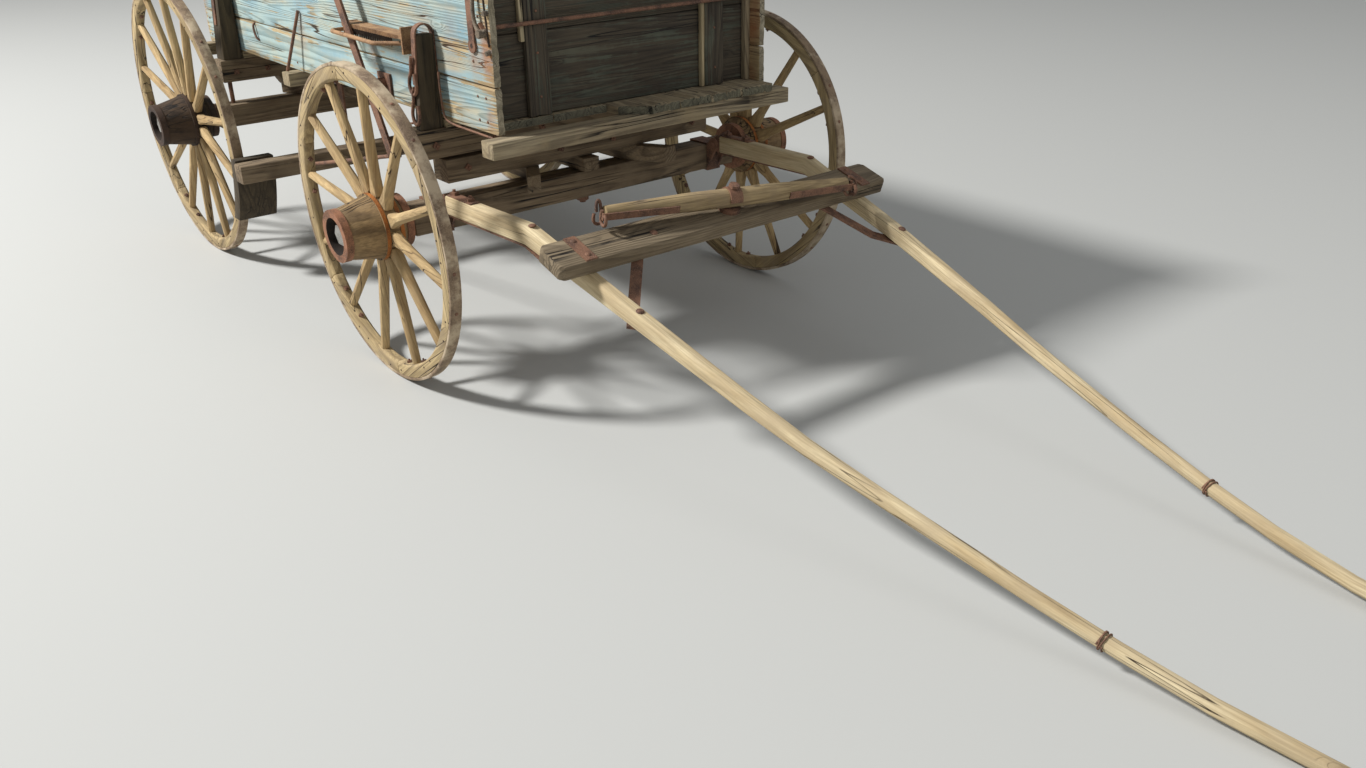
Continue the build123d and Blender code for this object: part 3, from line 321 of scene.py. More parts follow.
# bleached ash keeps a warm yellow; its figure is faint, and it is stained red-brown at the hub
wheel_ash = bare_wood("bleached_ash", "#cfb586", "#a4875b", "#6b5135", 9.0, 0.016, ringed=0.35,
                      dusty="#9d8763", foot="#96602f")
# the felloes are greyer and browner than the spokes, without the stain
felloe_ash = bare_wood("grey_felloe_ash", "#cbb488", "#a08a62", "#5a472e", 10.0, 0.02, dusty="#8d7c63")
# the front hubs are darker and greyer, with long checks between their bands; the rear ones are greasy
# and darker still with painted shade
hub_elm = bare_wood("greyed_elm", "#a58a61", "#7d6241", "#38291b", 12.0, 0.045, ringed=0.5, dusty="#8a7355")
greasy_shaded_elm = bare_wood("greasy_shaded_elm", "#5a4632", "#3c2d20", "#1b140f", 12.0, 0.03, ringed=0.5,
                       dusty="#453526")
# brown scale all over the smith's work; the rings of the front hubs are orange with fresh rust, their nose
# bands are duller, and the rear ones are brown under grease and darkened further as painted shade
rusted = rusty_iron("rusted_wrought_iron", "#41302a", "#7b5844", "#a98268")
ring_rust = rusty_iron("orange_ring_rust", "#6a3c1a", "#a8652c", "#cd9047")
nose_rust = rusty_iron("nose_band_rust", "#563a2b", "#906248", "#bd8c68")
greasy_shaded_rust = rusty_iron("greasy_shaded_band_rust", "#1d1612", "#3d2c21", "#5f4838")
# the tyre is grey-brown with earth, and bright where stones rub it
tyre_rust = rusty_iron("tyre_rust", "#655242", "#8b765e", "#ab967a", rubbed="#bdab90")
# nails are nearly black; the same black is painted shade between the rack's teeth and in the straps' holes
black_iron_and_painted_shade = rusty_iron("black_iron_and_painted_shade", "#1f1814", "#3a2c22", "#5d4a3a")
# old axle grease, black and a little wet, with rust in it
black_grease = rusty_iron("black_grease", "#17120e", "#2c221b", "#4d3b2e")

wheel_names = ("front_right", "front_left", "rear_right", "rear_left")


def wheel_place(name):
    """The middle of a wheel and the way its axle arm points."""
    joint = next(j for j in frame["joints"] if j["child"] == f"{name}_wheel")
    return Vector(joint["pos_m"]), Vector(joint["axis"]).normalized()


def hub_coat(face, centre, axis):
    """The finish of a hub's face: 0 is wood, 1 the rings, 2 the nose bands and 3 the greasy bore."""
    offset = face.center - centre
    out = offset.dot(axis)
    ray = offset - out * axis
    if ray.length < 0.075 and face.normal.dot(ray.normalized()) < -0.3:
        return 3
    if out > 0.1075 or out < -0.0735:
        return 2
    ring_side = ray.length > 0.101 and abs(out + 0.022) < 0.0325 and abs(face.normal.dot(axis)) > 0.5
    return ray.length > 0.1041 or ring_side


for name in wheel_names:
    body = f"{name}_wheel"
    centre, axis = wheel_place(name)
    dressed(f"{name}_spokes", f"{name}_shaved_spokes", wheel_ash, body, "wheel_wood", 0.0045, 20,
            lambda middle: (middle - centre).normalized())
    dressed(f"{name}_felloes", f"{name}_sawn_felloes", felloe_ash, body, "wheel_wood", 0.0025, 24,
            lambda middle: axis.cross(middle - centre).normalized())
    dressed(f"{name}_tyre", f"{name}_worn_tyre", tyre_rust, body, "tyre_iron", 0.002, 40)
    hub = taken_from(f"{name}_hub", f"{name}_turned_hub")
    lay_grain(hub, lambda middle: axis)
    front = name.startswith("front")
    # the rear hubs take the greasy finishes, which are also darkened as painted shade
    hub_finishes = (hub_elm, ring_rust, nose_rust) if front else (greasy_shaded_elm, greasy_shaded_rust, greasy_shaded_rust)
    coat(hub, (*hub_finishes, black_grease), lambda face: hub_coat(face, centre, axis))
    smooth(hub, 35)
    settle(hub, None, body, "wheel_wood", f"{name}_hub")

# the nuts on the axle ends are bare grey iron
nut_iron = rusty_iron("bare_nut_iron", "#5b5751", "#8f8c86", "#b3b0a8")
nut_start = 0.8925
for name, body in (("front_skeins", "fore_carriage"), ("rear_skeins", "wagon")):
    skeins = taken_from(name, f"worn_{name}")
    coat(skeins, (rusted, nut_iron), lambda face: abs(face.center.y) > nut_start)
    smooth(skeins, 35)
    settle(skeins, None, body, "iron", name)

# Fasteners
# Square nuts on bolt ends, domed carriage bolts and nail heads, all hand-made and rusty.
# Each kind is made once and set out in a list of places.


def joined(name, parts):
    """Joins a group of like pieces into one."""
    bpy.ops.object.select_all(action="DESELECT")
    for part in parts:
        part.select_set(True)
    bpy.context.view_layer.objects.active = parts[0]
    if len(parts) > 1:
        bpy.ops.object.join()
    parts[0].name = name
    return parts[0]


def pattern_of(name, *steps):
    """The mesh of a small pattern piece, made by its steps at the origin with its axis upwards."""
    parts = []
    for step in steps:
        step()
        parts.append(bpy.context.active_object)
    made = joined(name, parts)
    bpy.ops.object.transform_apply()
    mesh = made.data
    bpy.data.objects.remove(made)
    mesh.name = name
    return mesh


def set_out(name, mesh, places, material, body, turn=True):
    """One piece made of copies of a pattern, each at a place, along a direction and at a size."""
    rng = random.Random(len(places) * 7 + len(name))
    gathered = bmesh.new()
    for place, way, size in places:
        copy = mesh.copy()
        spin = Matrix.Rotation(rng.uniform(0, 2 * math.pi) if turn else 0, 4, "Z")
        aim = Vector(way).to_track_quat("Z", "Y").to_matrix().to_4x4()
        copy.transform(Matrix.Translation(place) @ aim @ spin @ Matrix.Scale(size, 4))
        gathered.from_mesh(copy)
        bpy.data.meshes.remove(copy)
    made = bpy.data.meshes.new(name)
    gathered.to_mesh(made)
    gathered.free()
    piece = placed(name, made)
    smooth(piece, 40)
    settle(piece, material, body, "iron")


cylinder = bpy.ops.mesh.primitive_cylinder_add
cone = bpy.ops.mesh.primitive_cone_add
square_nut = pattern_of(
    "square_nut",
    lambda: cylinder(vertices=4, radius=0.0155, depth=0.011, location=(0, 0, 0.0055)),
    lambda: cylinder(vertices=8, radius=0.0055, depth=0.02, location=(0, 0, 0.009)))
round_head = pattern_of("round_head", lambda: bpy.ops.mesh.primitive_uv_sphere_add(
    segments=10, ring_count=6, radius=0.012, scale=(1, 1, 0.42)))
nail_head = pattern_of("nail_head", lambda: cone(vertices=7, radius1=0.0048, radius2=0.0034, depth=0.003))

# in the wheels: a bolt through felloe and tyre on each side of every joint, and nails in the felloes' faces
first_felloe = {"front_right": 20, "front_left": 4, "rear_right": 8, "rear_left": 17}
for name in wheel_names:
    centre, axis = wheel_place(name)
    radius, count = (0.508, 6) if name.startswith("front") else (0.559, 7)
    across = Vector((1, 0, 0))
    up = axis.cross(across).normalized()
    nuts, tread, nails = [], [], []
    for index, shift in itertools.product(range(count), (-7.5, 7.5, -22, -12.5, 11, 19)):
        angle = math.radians(first_felloe[name] + 180 / count + 360 * index / count + shift)
        ray = math.cos(angle) * across + math.sin(angle) * up
        if abs(shift) == 7.5:
            nuts.append((centre + ray * (radius - 0.0545), -ray, 0.62))
            tread.append((centre + ray * (radius + 0.0002), ray, 0.5))
        else:
            nails.append((centre + ray * (radius - 0.032 - 0.0004 * shift) + axis * 0.0192, axis, 0.8))
    body = f"{name}_wheel"
    set_out(f"{name}_felloe_nuts", square_nut, nuts, rusted, body)
    set_out(f"{name}_tyre_bolts", round_head, tread, rusted, body)
    set_out(f"{name}_felloe_nails", nail_head, nails, black_iron_and_painted_shade, body)

# Timbers of the running gear
# Oak axles, bolsters, hounds and reach: adzed and sawn timber, dark and dusty under the box,
# with rounded edges and deep checks.
gear_oak = bare_wood("weathered_oak", "#98856a", "#6c5a45", "#372c22", 16.0, 0.026, ringed=0.5,
                     dusty="#7b6a54")
# the stakes are nearly black with dirt, and the brake shoes are made as dark
dark_oak = bare_wood("blackened_oak", "#5d503b", "#3f3527", "#1d1812", 16.0, 0.026, ringed=0.5,
                     dusty="#4b4030")


def nuts_through(front, rear, height, reaches, size):
    """A nut on the front and the rear face of a timber, at each place to both sides."""
    return [((x, side * reach, height), (way, 0, 0), size) for side in (-1, 1) for reach in reaches
            for x, way in ((front, 1), (rear, -1))]


for node, body, grain, rounding, wood in (
    ("front_axle", "fore_carriage", (0, 1, 0), 0.005, gear_oak),
    ("sand_board", "fore_carriage", (0, 1, 0), 0.006, gear_oak),
    ("front_hounds", "fore_carriage", (1, 0, 0), 0.004, gear_oak),
    ("front_bolster", "wagon", (0, 1, 0), 0.006, gear_oak),
    ("rear_bolster", "wagon", (0, 1, 0), 0.006, gear_oak),
    ("rear_axle", "wagon", (0, 1, 0), 0.005, gear_oak),
    ("reach", "wagon", (1, 0, 0), 0.004, gear_oak),
    ("rear_hounds", "wagon", (1, 0, 0), 0.004, gear_oak),
    ("stakes", "wagon", (0, 0, 1), 0.004, dark_oak),
    ("brake_beam", "wagon", (0, 1, 0), 0.004, gear_oak),
    ("brake_shoes", "wagon", (0, 0, 1), 0.003, dark_oak),
):
    dressed(node, f"worn_{node}", wood, body, "gear_wood", rounding, grain=grain)

front_low, front_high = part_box("front_bolster")
rear_low, rear_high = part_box("rear_bolster")
front_x, rear_x = (front_low.x + front_high.x) / 2, (rear_low.x + rear_high.x) / 2
bolster_width, bolt_drop = 0.092, 0.05
nuts = []
for high, reaches in ((front_high, (0.18, 0.36, 0.575)), (rear_high, (0.2, 0.44, 0.575))):
    nuts += nuts_through(high.x, high.x - bolster_width, high.z - bolt_drop, reaches, 0.85)
set_out("bolster_nuts", square_nut, nuts, rusted, "wagon")
low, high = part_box("sand_board")
nuts = nuts_through(high.x, low.x, low.z + 0.042, (0.11, 0.47), 0.8)
set_out("sand_board_nuts", square_nut, nuts, rusted, "fore_carriage")

# Box
# Pine boards on edge, once painted a pale blue outside. The paint has flaked along the grain, so that
# bare tan wood shows in streaks and along the lower edges; the front end shows split end grain.


def flaked_paint(name, coats, wood, outside, cover=0.42):
    """Old thin paint over pine, on the outer face alone, which outside gives as an axis, a sign and a
    place. It is gone along the grain in streaks, in patches and where the piece's wear says. Late wood
    shows through it as darker lines, and rust has run into it where the piece's stain says."""
    material, tree, surface = finish_named(name)
    figure = wood_figure(tree, 30.0, 0.018, (0.36, 9.0, 9.0))
    bare = wood_colour(tree, figure, *wood, ringed=0.5)
    place = add(tree, "TexCoord", out="Object")
    # chalky coats, in patches of 250 mm
    cloud = add(tree, "TexNoise", {"Vector": place, "Scale": 4.0, "Detail": 5.0, "Roughness": 0.62})
    tint = add(tree, "MapRange", (cloud, 0.36, 0.62))
    paint = add(tree, "Mix", {0: tint, 6: linear(coats[0]), 7: linear(coats[1])}, colours)
    # thin paint, where the wood's warmth comes through, in drifts a span long
    thin = add(tree, "MapRange", (figure["drift"], 0.46, 0.68, 0.0, 0.6))
    warm = add(tree, "Mix", {0: thin, 6: paint, 7: linear(wood[0])}, colours)
    through = add(tree, "Math", (figure["ring"], 0.5), times)
    lined = add(tree, "Mix", {0: through, 6: warm, 7: linear(coats[2])}, colours)
    # it flakes in streaks a hand long and 5 mm wide, and in patches 180 mm wide
    at_streaks = add(tree, "VectorMath", (figure["grain"], (3.4, 110, 110)), times)
    streaks = add(tree, "TexNoise", {"Vector": at_streaks, "Scale": 1.0, "Detail": 4.0, "Roughness": 0.65})
    patches = add(tree, "TexNoise", {"Vector": place, "Scale": 5.5, "Detail": 7.0, "Roughness": 0.66})
    both = add(tree, "Mix", {0: 0.5, 2: streaks, 3: patches})
    wear = add(tree, "Attribute", (), {"attribute_name": "wear"}, out="Fac")
    thick = add(tree, "Math", (wear, -0.13, both), times_plus)
    left = add(tree, "MapRange", (thick, cover - 0.02, cover + 0.03))
    axis, sign, edge = outside
    facing = add(tree, "Math", (add(tree, "SeparateXYZ", (place,), out=axis), sign), times)
    outer = add(tree, "Math", (facing, edge), {"operation": "GREATER_THAN"})
    painted = add(tree, "Math", (left, outer), times)
    whole = add(tree, "Math", (painted, figure["checks"]), {"operation": "SUBTRACT", "use_clamp": True})
    colour = add(tree, "Mix", {0: whole, 6: bare, 7: lined}, colours)
    stain = add(tree, "Attribute", (), {"attribute_name": "stain"}, out="Fac")
    uneven = add(tree, "MapRange", (patches, 0.3, 0.6, 0.2, 1.0))
    run = add(tree, "Math", (stain, uneven), times)
    stained = add(tree, "Mix", {0: run, 6: colour, 7: linear("#96643f")}, colours)
    bump = wood_relief(tree, figure, 0.0012)
    feed(surface, {"Base Color": stained, "Roughness": 0.82, "Normal": bump})
    return material


pine = ("#c3af88", "#a08960", "#5a4932")
blue = ("#a7b8b1", "#86a6b0", "#5a6b67")
side_pine = flaked_paint("flaked_blue_paint_right", blue, pine, (1, -1, 0.527))
other_side_pine = flaked_paint("flaked_blue_paint_left", blue, pine, (1, 1, 0.527))
# the gates have lost most of their paint and are grimy brown and green; their colours are darker still as
# painted shade
shaded_gate_pine = flaked_paint("grimy_paint_on_pine_with_painted_shade", ("#585b4c", "#45483c", "#2d2e27"),
                         ("#5d5342", "#40372b", "#201b15"), (0, 1, -5), cover=0.53)
bare_pine = bare_wood("grey_pine", "#b3a486", "#8a7a60", "#4b4033", 20.0, 0.024, ringed=0.5, dusty="#978667")
end_pine = bare_wood("split_end_grain", "#b5ab93", "#8a8069", "#4f473a", 30.0, 0.014, dusty="#77705c")
torn_pine = bare_wood("torn_ends", "#858069", "#605c4d", "#35322a", 36.0, 0.014, dusty="#4b493c")
strip_pine = bare_wood("pale_strip", "#cdbf9d", "#ab9a76", "#6d5d45", 8.0, 0.02)


def near(gap, reach):
    """1 on the spot, fading to 0 at its reach."""
    return max(0.0, 1 - gap / reach)


def old_board(low, high, way, cell, chew, seed):
    """One sawn board between two corners, with its grain along way. Its wide faces are gridded and a
    little wavy, and its edges and ends are chewed by wear."""
    size = [high[i] - low[i] for i in range(3)]
    along = max(range(3), key=lambda i: abs(way[i]))
    thin = min((i for i in range(3) if i != along), key=lambda i: size[i])
    wide = 3 - along - thin
    axes = [Vector([float(i == k) for i in range(3)]) for k in (along, wide)]
    normal = axes[0].cross(axes[1])
    basis = Matrix((axes[0], axes[1], normal)).transposed()
    middle = Vector([(low[i] + high[i]) / 2 for i in range(3)]) - normal * size[thin] / 2
    bpy.ops.mesh.primitive_grid_add(
        x_subdivisions=max(2, round(size[along] / cell)),
        y_subdivisions=max(2, round(size[wide] / cell * 1.5)),
        size=1, location=middle, rotation=basis.to_euler())
    board = bpy.context.active_object
    board.scale = (size[along], size[wide], 1)
    bpy.ops.object.transform_apply()
    bpy.ops.object.mode_set(mode="EDIT")
    bpy.ops.mesh.select_all(action="SELECT")
    bpy.ops.mesh.extrude_region_move(TRANSFORM_OT_translate={"value": normal * size[thin]})
    bpy.ops.mesh.select_all(action="SELECT")
    bpy.ops.mesh.normals_make_consistent(inside=False)
    bpy.ops.object.mode_set(mode="OBJECT")
    soften(board, min(0.0035, size[thin] / 6), 50)
    # wear moves each vertex inwards only, so that the board stays within its size
    own = Vector((seed * 3.1, seed * 1.7, seed * 0.9))
    for vertex in board.data.vertices:
        place = vertex.co.copy()
        stretch = Vector([place[i] * (6 if i == along else 30) for i in range(3)])
        for axis in range(3):
            for end, sign in ((low[axis], 1), (high[axis], -1)):
                share = near(abs(place[axis] - end), 0.02 if axis != along else 0.05)
                if share <= 0.6:
                    continue
                rim = min(abs(place[i] - edge[i]) for i in range(3) if i != axis for edge in (low, high))
                bite = noise.noise(stretch + own + Vector((axis, sign, 0))) * 0.5 + 0.5
                amount = chew * bite ** 2 if rim < 0.006 else 0.0012 * bite
                if axis == along:
                    amount = max(amount, 2.2 * chew * (noise.noise(stretch * 2.5 + own) * 0.5 + 0.5) ** 2)
                vertex.co[axis] += sign * amount * share
    return board


def mark(piece, name, value):
    """Writes a number at each vertex, by its place, for the finish to read."""
    mesh = piece.data
    spots = mesh.attributes.new(name, "FLOAT", "POINT")
    spots.data.foreach_set("value", [min(1.0, max(0.0, value(vertex.co))) for vertex in mesh.vertices])


side_low, side_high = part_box("right_side")
box_front, box_rear = side_high.x, side_low.x
lower_seam, upper_seam = side_low.z + 0.14, side_low.z + 0.402
seam = 0.0025
# rust that the irons have washed into the side: place along, height, its reach round that and its strength
rust_runs = [
    (front_x + 0.345, 1.075, 0.055, 1.0),
    (front_x + 0.331, 1.02, 0.045, 0.7),
    (front_x + 0.27, 1.03, 0.04, 0.8),
    (front_x + 0.14, 1.065, 0.08, 0.3),
    (front_x - 0.02, 1.04, 0.07, 0.5),
    (front_x - 0.42, 0.99, 0.05, 0.6),
    (front_x + 0.335, 0.86, 0.035, 0.8),
    (rear_x + 0.73, 0.99, 0.05, 0.5),
    (rear_x - 0.33, 1.07, 0.06, 0.9),
]


def side_wear(place):
    """Bare edges at the seams, the foot, the top and the ends, and where hands and the lever rub."""
    x, z = place.x - front_x, place.z
    return max(
        near(min(abs(z - lower_seam), abs(z - upper_seam)), 0.016) * 0.7,
        near(z - side_low.z, 0.035),
        near(side_high.z - z, 0.05),
        near(min(box_front - place.x, place.x - box_rear), 0.055),
        near(math.hypot((x - 0.17) / 0.16, (z - 1.05) / 0.045), 1) * 0.9,
        near(math.hypot((x - 0.05) / 0.4, (z - 0.85) / 0.05), 1) * 0.8,
        near(math.hypot((box_front - place.x) / 0.085, (z - 1.15) / 0.17), 1) * 1.6,
    )


def side_stain(place):
    """Rust washed out of the irons, longer downwards than sideways."""
    total = 0.0
    for x, z, reach, strength in rust_runs:
        drop = (place.z - z) / (reach if place.z > z else 1.7 * reach)
        total += strength * math.exp(-((place.x - x) / (0.6 * reach)) ** 2 - drop ** 2)
    return total


for node, material, seed in (("right_side", side_pine, 3), ("left_side", other_side_pine, 8)):
    low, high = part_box(node)
    heights = ((low.z, lower_seam - seam / 2), (lower_seam + seam / 2, upper_seam - seam / 2),
               (upper_seam + seam / 2, high.z))
    boards = [old_board((low.x, low.y, foot), (high.x, high.y, top), (1, 0, 0), 0.022, 0.004, seed + row)
              for row, (foot, top) in enumerate(heights)]
    # a tongue closes each seam, as on matched boards
    middle = (low.y + high.y) / 2
    boards += [old_board((low.x + 0.02, middle - 0.003, height - 0.006),
                         (high.x - 0.02, middle + 0.003, height + 0.006), (1, 0, 0), 0.2, 0.0, 1)
               for height in (lower_seam, upper_seam)]
    side_boards = joined(f"{node}_boards", boards)
    lay_grain(side_boards, (1, 0, 0))
    mark(side_boards, "wear", side_wear)
    mark(side_boards, "stain", side_stain)
    coat(side_boards, (material, end_pine), lambda face: abs(face.normal.x) > 0.6)
    settle(side_boards, None, "wagon", "box_wood", node)

gate_low, gate_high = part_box("front_gate")
tail_low, tail_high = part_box("tailgate")
floor_top = gate_low.z
cleat_thick, cleat_place = 0.022, 0.348
gate_face, tail_face = gate_high.x - cleat_thick, tail_low.x + cleat_thick


def gate_boards(rear, front, foot, sides, seed):
    """A gate's three boards, one above the other."""
    rows = (foot, 0.2498), (0.2502, 0.4498), (0.4502, 0.64)
    return [old_board((rear, sides[0], floor_top + low), (front, sides[1], floor_top + high),
                      (0, 1, 0), 0.03, 0.003, seed + row)
            for row, (low, high) in enumerate(rows)]


def gate_tongues(rear, sides):
    """The tongues that close the seams between them."""
    return [old_board((rear, sides[0] + 0.01, floor_top + height - 0.006),
                      (rear + 0.005, sides[1] - 0.01, floor_top + height + 0.006), (0, 1, 0), 0.2, 0.0, 2)
            for height in (0.25, 0.45)]


def gate_cleats(rear, foot, seed):
    """The two upright cleats that hold a gate's boards together."""
    return [old_board((rear, side * cleat_place - 0.04, floor_top + foot),
                      (rear + cleat_thick, side * cleat_place + 0.04, floor_top + 0.628),
                      (0, 0, 1), 0.03, 0.003, seed + side)
            for side in (-1, 1)]


def boarded(name, boards, way, finish, body, *stands_for):
    """Joins boards into one piece, lays their grain and settles it."""
    piece = joined(name, boards)
    lay_grain(piece, way)
    settle(piece, finish, body, "box_wood", *stands_for)


sides = gate_low.y, gate_high.y
boards = gate_boards(gate_low.x, gate_face, 0, sides, 20) + gate_tongues(gate_low.x + 0.01, sides)
boarded("front_gate_boards", boards, (0, 1, 0), shaded_gate_pine, "wagon", "front_gate")
boarded("front_gate_cleats", gate_cleats(gate_face, 0, 30), (0, 0, 1), shaded_gate_pine, "wagon")
# two thin pale strips on the right-hand sides of the cleats; the right-hand one starts 225 mm up
boards = [old_board((gate_face, y, floor_top + foot),
                    (gate_high.x - 0.002, y + 0.014, floor_top + 0.62), (0, 0, 1), 0.03, 0.003, seed)
          for seed, y, foot in ((35, -0.402, 0.225), (36, 0.294, 0.0))]
boarded("front_gate_strips", boards, (0, 0, 1), strip_pine, "wagon")
# the tailgate stands clear of the floor by a hair, as it slides
clear = 0.0003
sides = tail_low.y, tail_high.y
boards = gate_boards(tail_face, tail_high.x, clear, sides, 40) + gate_cleats(tail_low.x, clear, 50)
boards += gate_tongues(tail_high.x - 0.015, sides)
boarded("tailgate_boards", boards, (0, 1, 0), shaded_gate_pine, "tailgate_board", "tailgate")

# five floor boards, each with its end in front of the gate as a board of its own
floor_low, floor_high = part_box("floor_boards")
pitch = (floor_high.y - floor_low.y + 0.0012) / 5
under_gate = box_front - 0.085
boards = []
for index in range(5):
    y_low = floor_low.y + index * pitch
    y_high = y_low + pitch - 0.0014
    boards.append(old_board((floor_low.x, y_low, floor_low.z), (under_gate, y_high, floor_high.z),
                            (1, 0, 0), 0.035, 0.003, 60 + index))
    # the ends in front of the gate are torn off in splinters, so that they need a finer mesh; the two
    # on the right are broken off flush with the gate
    reach = -0.053 if index < 2 else 0.07
    end = old_board((under_gate, y_low, floor_low.z), (box_front + reach, y_high, floor_high.z),
                    (1, 0, 0), 0.006, 0.0, 70 + index)
    for vertex in end.data.vertices if index >= 2 else ():
        past = vertex.co.x - under_gate - 0.09
        if past <= 0:
            continue
        upper_layer = vertex.co.z > (floor_low.z + floor_high.z) / 2
        step = noise.cell(Vector((vertex.co.y * 38, upper_layer * 4.3, index)))
        fibre = noise.noise(Vector((vertex.co.y * 210, vertex.co.z * 160, index + 9))) * 0.5 + 0.5
        vertex.co.x -= past / 0.065 * (0.005 * step + 0.006 * fibre + (0.003 if upper_layer else 0.0))
        if index == 2:
            vertex.co.y = max(vertex.co.y, y_low + max(0.0, vertex.co.x - box_front + 0.01) * 1.1)
        if upper_layer:
            vertex.co.z -= 0.003 * noise.cell(Vector((vertex.co.x * 20, vertex.co.y * 60, index + 3.0)))
    boards.append(end)
floor = joined("worn_floor_boards", boards)
lay_grain(floor, (1, 0, 0))
coat(floor, (bare_pine, torn_pine), lambda face: abs(face.normal.x) > 0.6)
settle(floor, None, "wagon", "box_wood", "floor_boards")

for node, way in (("sills", (0, 1, 0)), ("gate_guides", (0, 0, 1))):
    dressed(node, f"worn_{node}", bare_pine, "wagon", "box_wood", 0.003, grain=way)

# nails: two in each board at every guide, one over each bolster, and one row up each cleat
nails = []
board_face = 0.5335
side_seams = side_low.z, lower_seam, upper_seam, side_high.z
for side in (-1, 1):
    for x in (box_front - 0.061, box_front - 0.108, box_rear + 0.045, box_rear + 0.1):
        for z_low, z_high in zip(side_seams, side_seams[1:]):
            for share in (0.25, 0.75):
                z = z_low + (z_high - z_low) * share
                nails.append(((x + 0.004 * math.sin(97 * z), side * board_face, z), (0, side, 0), 1.0))
    for x in (front_x, (front_x + rear_x) / 2, rear_x + 0.62, rear_x):
        nails.append(((x + 0.02, side * board_face, side_low.z + 0.03), (0, side, 0), 1.0))
    for up in (0.06, 0.19, 0.31, 0.42, 0.52, 0.6):
        y = side * cleat_place + 0.012 * math.sin(50 * up)
        nails.append(((gate_high.x + 0.0005, y, floor_top + up), (1, 0, 0), 1.0))
set_out("box_nails", nail_head, nails, rusted, "wagon")

# Irons of the wagon
# Straps, rods, bands, brake lever and rack: smith's work, brown with rust. Small hooks, staples and
# wires that hang on the box and its stakes are bent here from round rod.


def bent_rod(name, points, radius, origin=(0, 0, 0)):
    """A round rod bent along a smooth line near the points, given from an origin, with plain ends."""
    line = bpy.data.curves.new(name, "CURVE")
    line.dimensions = "3D"
    line.bevel_depth = radius
    line.bevel_resolution = 2
    line.use_fill_caps = True
    run = line.splines.new("NURBS")
    run.points.add(len(points) - 1)
    for spot, place in zip(run.points, points):
        spot.co = (*(a + b for a, b in zip(origin, place)), 1)
    run.order_u = 3
    run.use_endpoint_u = True
    run.resolution_u = 6
    rod = placed(name, line)
    hold(rod)
    bpy.ops.object.convert(target="MESH")
    smooth(rod, 50)
    return rod


for node in ("box_irons", "stake_irons", "king_bolt", "brake_irons", "brake_lever",
             "front_irons", "shaft_irons", "singletree_irons"):
    nodes[node].material_slots[0].material = rusted
# the rack is tan with dust and powdery rust; dark points under its toothed edge are painted shade
# in the gaps between its teeth
rack_rust = rusty_iron("dusty_rack_rust", "#6d4e38", "#9f7a56", "#c3a27a")
nodes["brake_rack"].material_slots[0].material = rack_rust
point = pattern_of("rack_gap_shade_point", lambda: cone(vertices=4, radius1=0.005, radius2=0.0024, depth=0.028,
                                              location=(0, 0, 0.014)))
rack_rear, point_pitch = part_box("brake_rack")[0].x + 0.055, 0.0165
points = [((rack_rear + point_pitch * step, -0.5868, side_low.z + 0.2341), (0, 0, -1), 1.0)
          for step in range(22)]
set_out("rack_points", point, points, black_iron_and_painted_shade, "wagon", turn=False)

# by the right front stake: two hooks, one hung in the other, with a rod that trails behind them; a thin
# rod that comes down between stake and box and runs forward under the box's edge; a staple in the side
at_stake = (front_x, 0, 0)
hooks = [
    bent_rod("upper_hook", [(dx, 0, z) for dx, z in (
        (0.014, 0.112), (0.006, 0.096), (0.004, 0.066), (-0.012, 0.046), (-0.02, 0.022), (-0.008, -0.002),
        (0.016, -0.004), (0.03, 0.02), (0.026, 0.046), (0.022, 0.062))],
        0.0058, (front_x + 0.01, -0.614, 0.9)),
    bent_rod("lower_hook", [(dx, 0, z) for dx, z in (
        (0.016, 0.112), (0.002, 0.102), (0.004, 0.076), (-0.008, 0.05), (-0.017, 0.024), (-0.006, -0.002),
        (0.018, -0.002), (0.032, 0.022), (0.03, 0.046), (0.027, 0.06))],
        0.0058, (front_x + 0.01, -0.616, 0.806)),
    bent_rod("trailing_rod", [(dx, -0.613, z) for dx, z in (
        (0.008, 0.803), (-0.01, 0.806), (-0.03, 0.8), (-0.1, 0.79), (-0.15, 0.765), (-0.165, 0.757))],
        0.0036, at_stake),
    bent_rod("edge_rod", [
        (0.07, -0.552, 0.965), (0.071, -0.553, 0.9), (0.076, -0.552, 0.835), (0.092, -0.545, 0.812),
        (0.2, -0.54, 0.808), (0.345, -0.538, 0.806)], 0.0035, at_stake),
    bent_rod("side_staple", [
        (-1.507, -0.53, 0.95), (-1.507, -0.541, 0.949), (-1.498, -0.543, 0.915),
        (-1.48, -0.541, 0.888), (-1.478, -0.53, 0.886)], 0.0045, at_stake),
]
settle(joined("hooks_and_rods", hooks), rusted, "wagon", "iron")

# the keeper at the front corner, of greyer iron: a bent hook, its bolt and two stubs beside a dark line,
# a thin black rod laid on the side's face
keeper = [
    bent_rod("corner_hook", [
        (0.309, -0.54, 1.236), (0.31, -0.548, 1.19), (0.313, -0.55, 1.15), (0.326, -0.551, 1.122),
        (0.35, -0.551, 1.106), (0.356, -0.54, 1.114)], 0.0062, at_stake),
    bent_rod("corner_bolt", [(0.346, -0.53, 1.108), (0.346, -0.56, 1.106)], 0.0125, at_stake),
    bent_rod("upper_stub", [(0.362, -0.53, 1.164), (0.362, -0.546, 1.162)], 0.0075, at_stake),
    bent_rod("lower_stub", [(0.36, -0.53, 1.056), (0.36, -0.546, 1.052)], 0.0075, at_stake),
]
keeper_iron = rusty_iron("grey_keeper_iron", "#3d342d", "#716353", "#a39680")
settle(joined("corner_keeper", keeper), keeper_iron, "wagon", "iron")
dark_line_path = [(0.349, -0.5335, 1.2), (0.352, -0.5335, 1.15), (0.362, -0.5335, 1.07)]
settle(bent_rod("corner_dark_line", dark_line_path, 0.0032, at_stake), black_iron_and_painted_shade, "wagon", "iron")

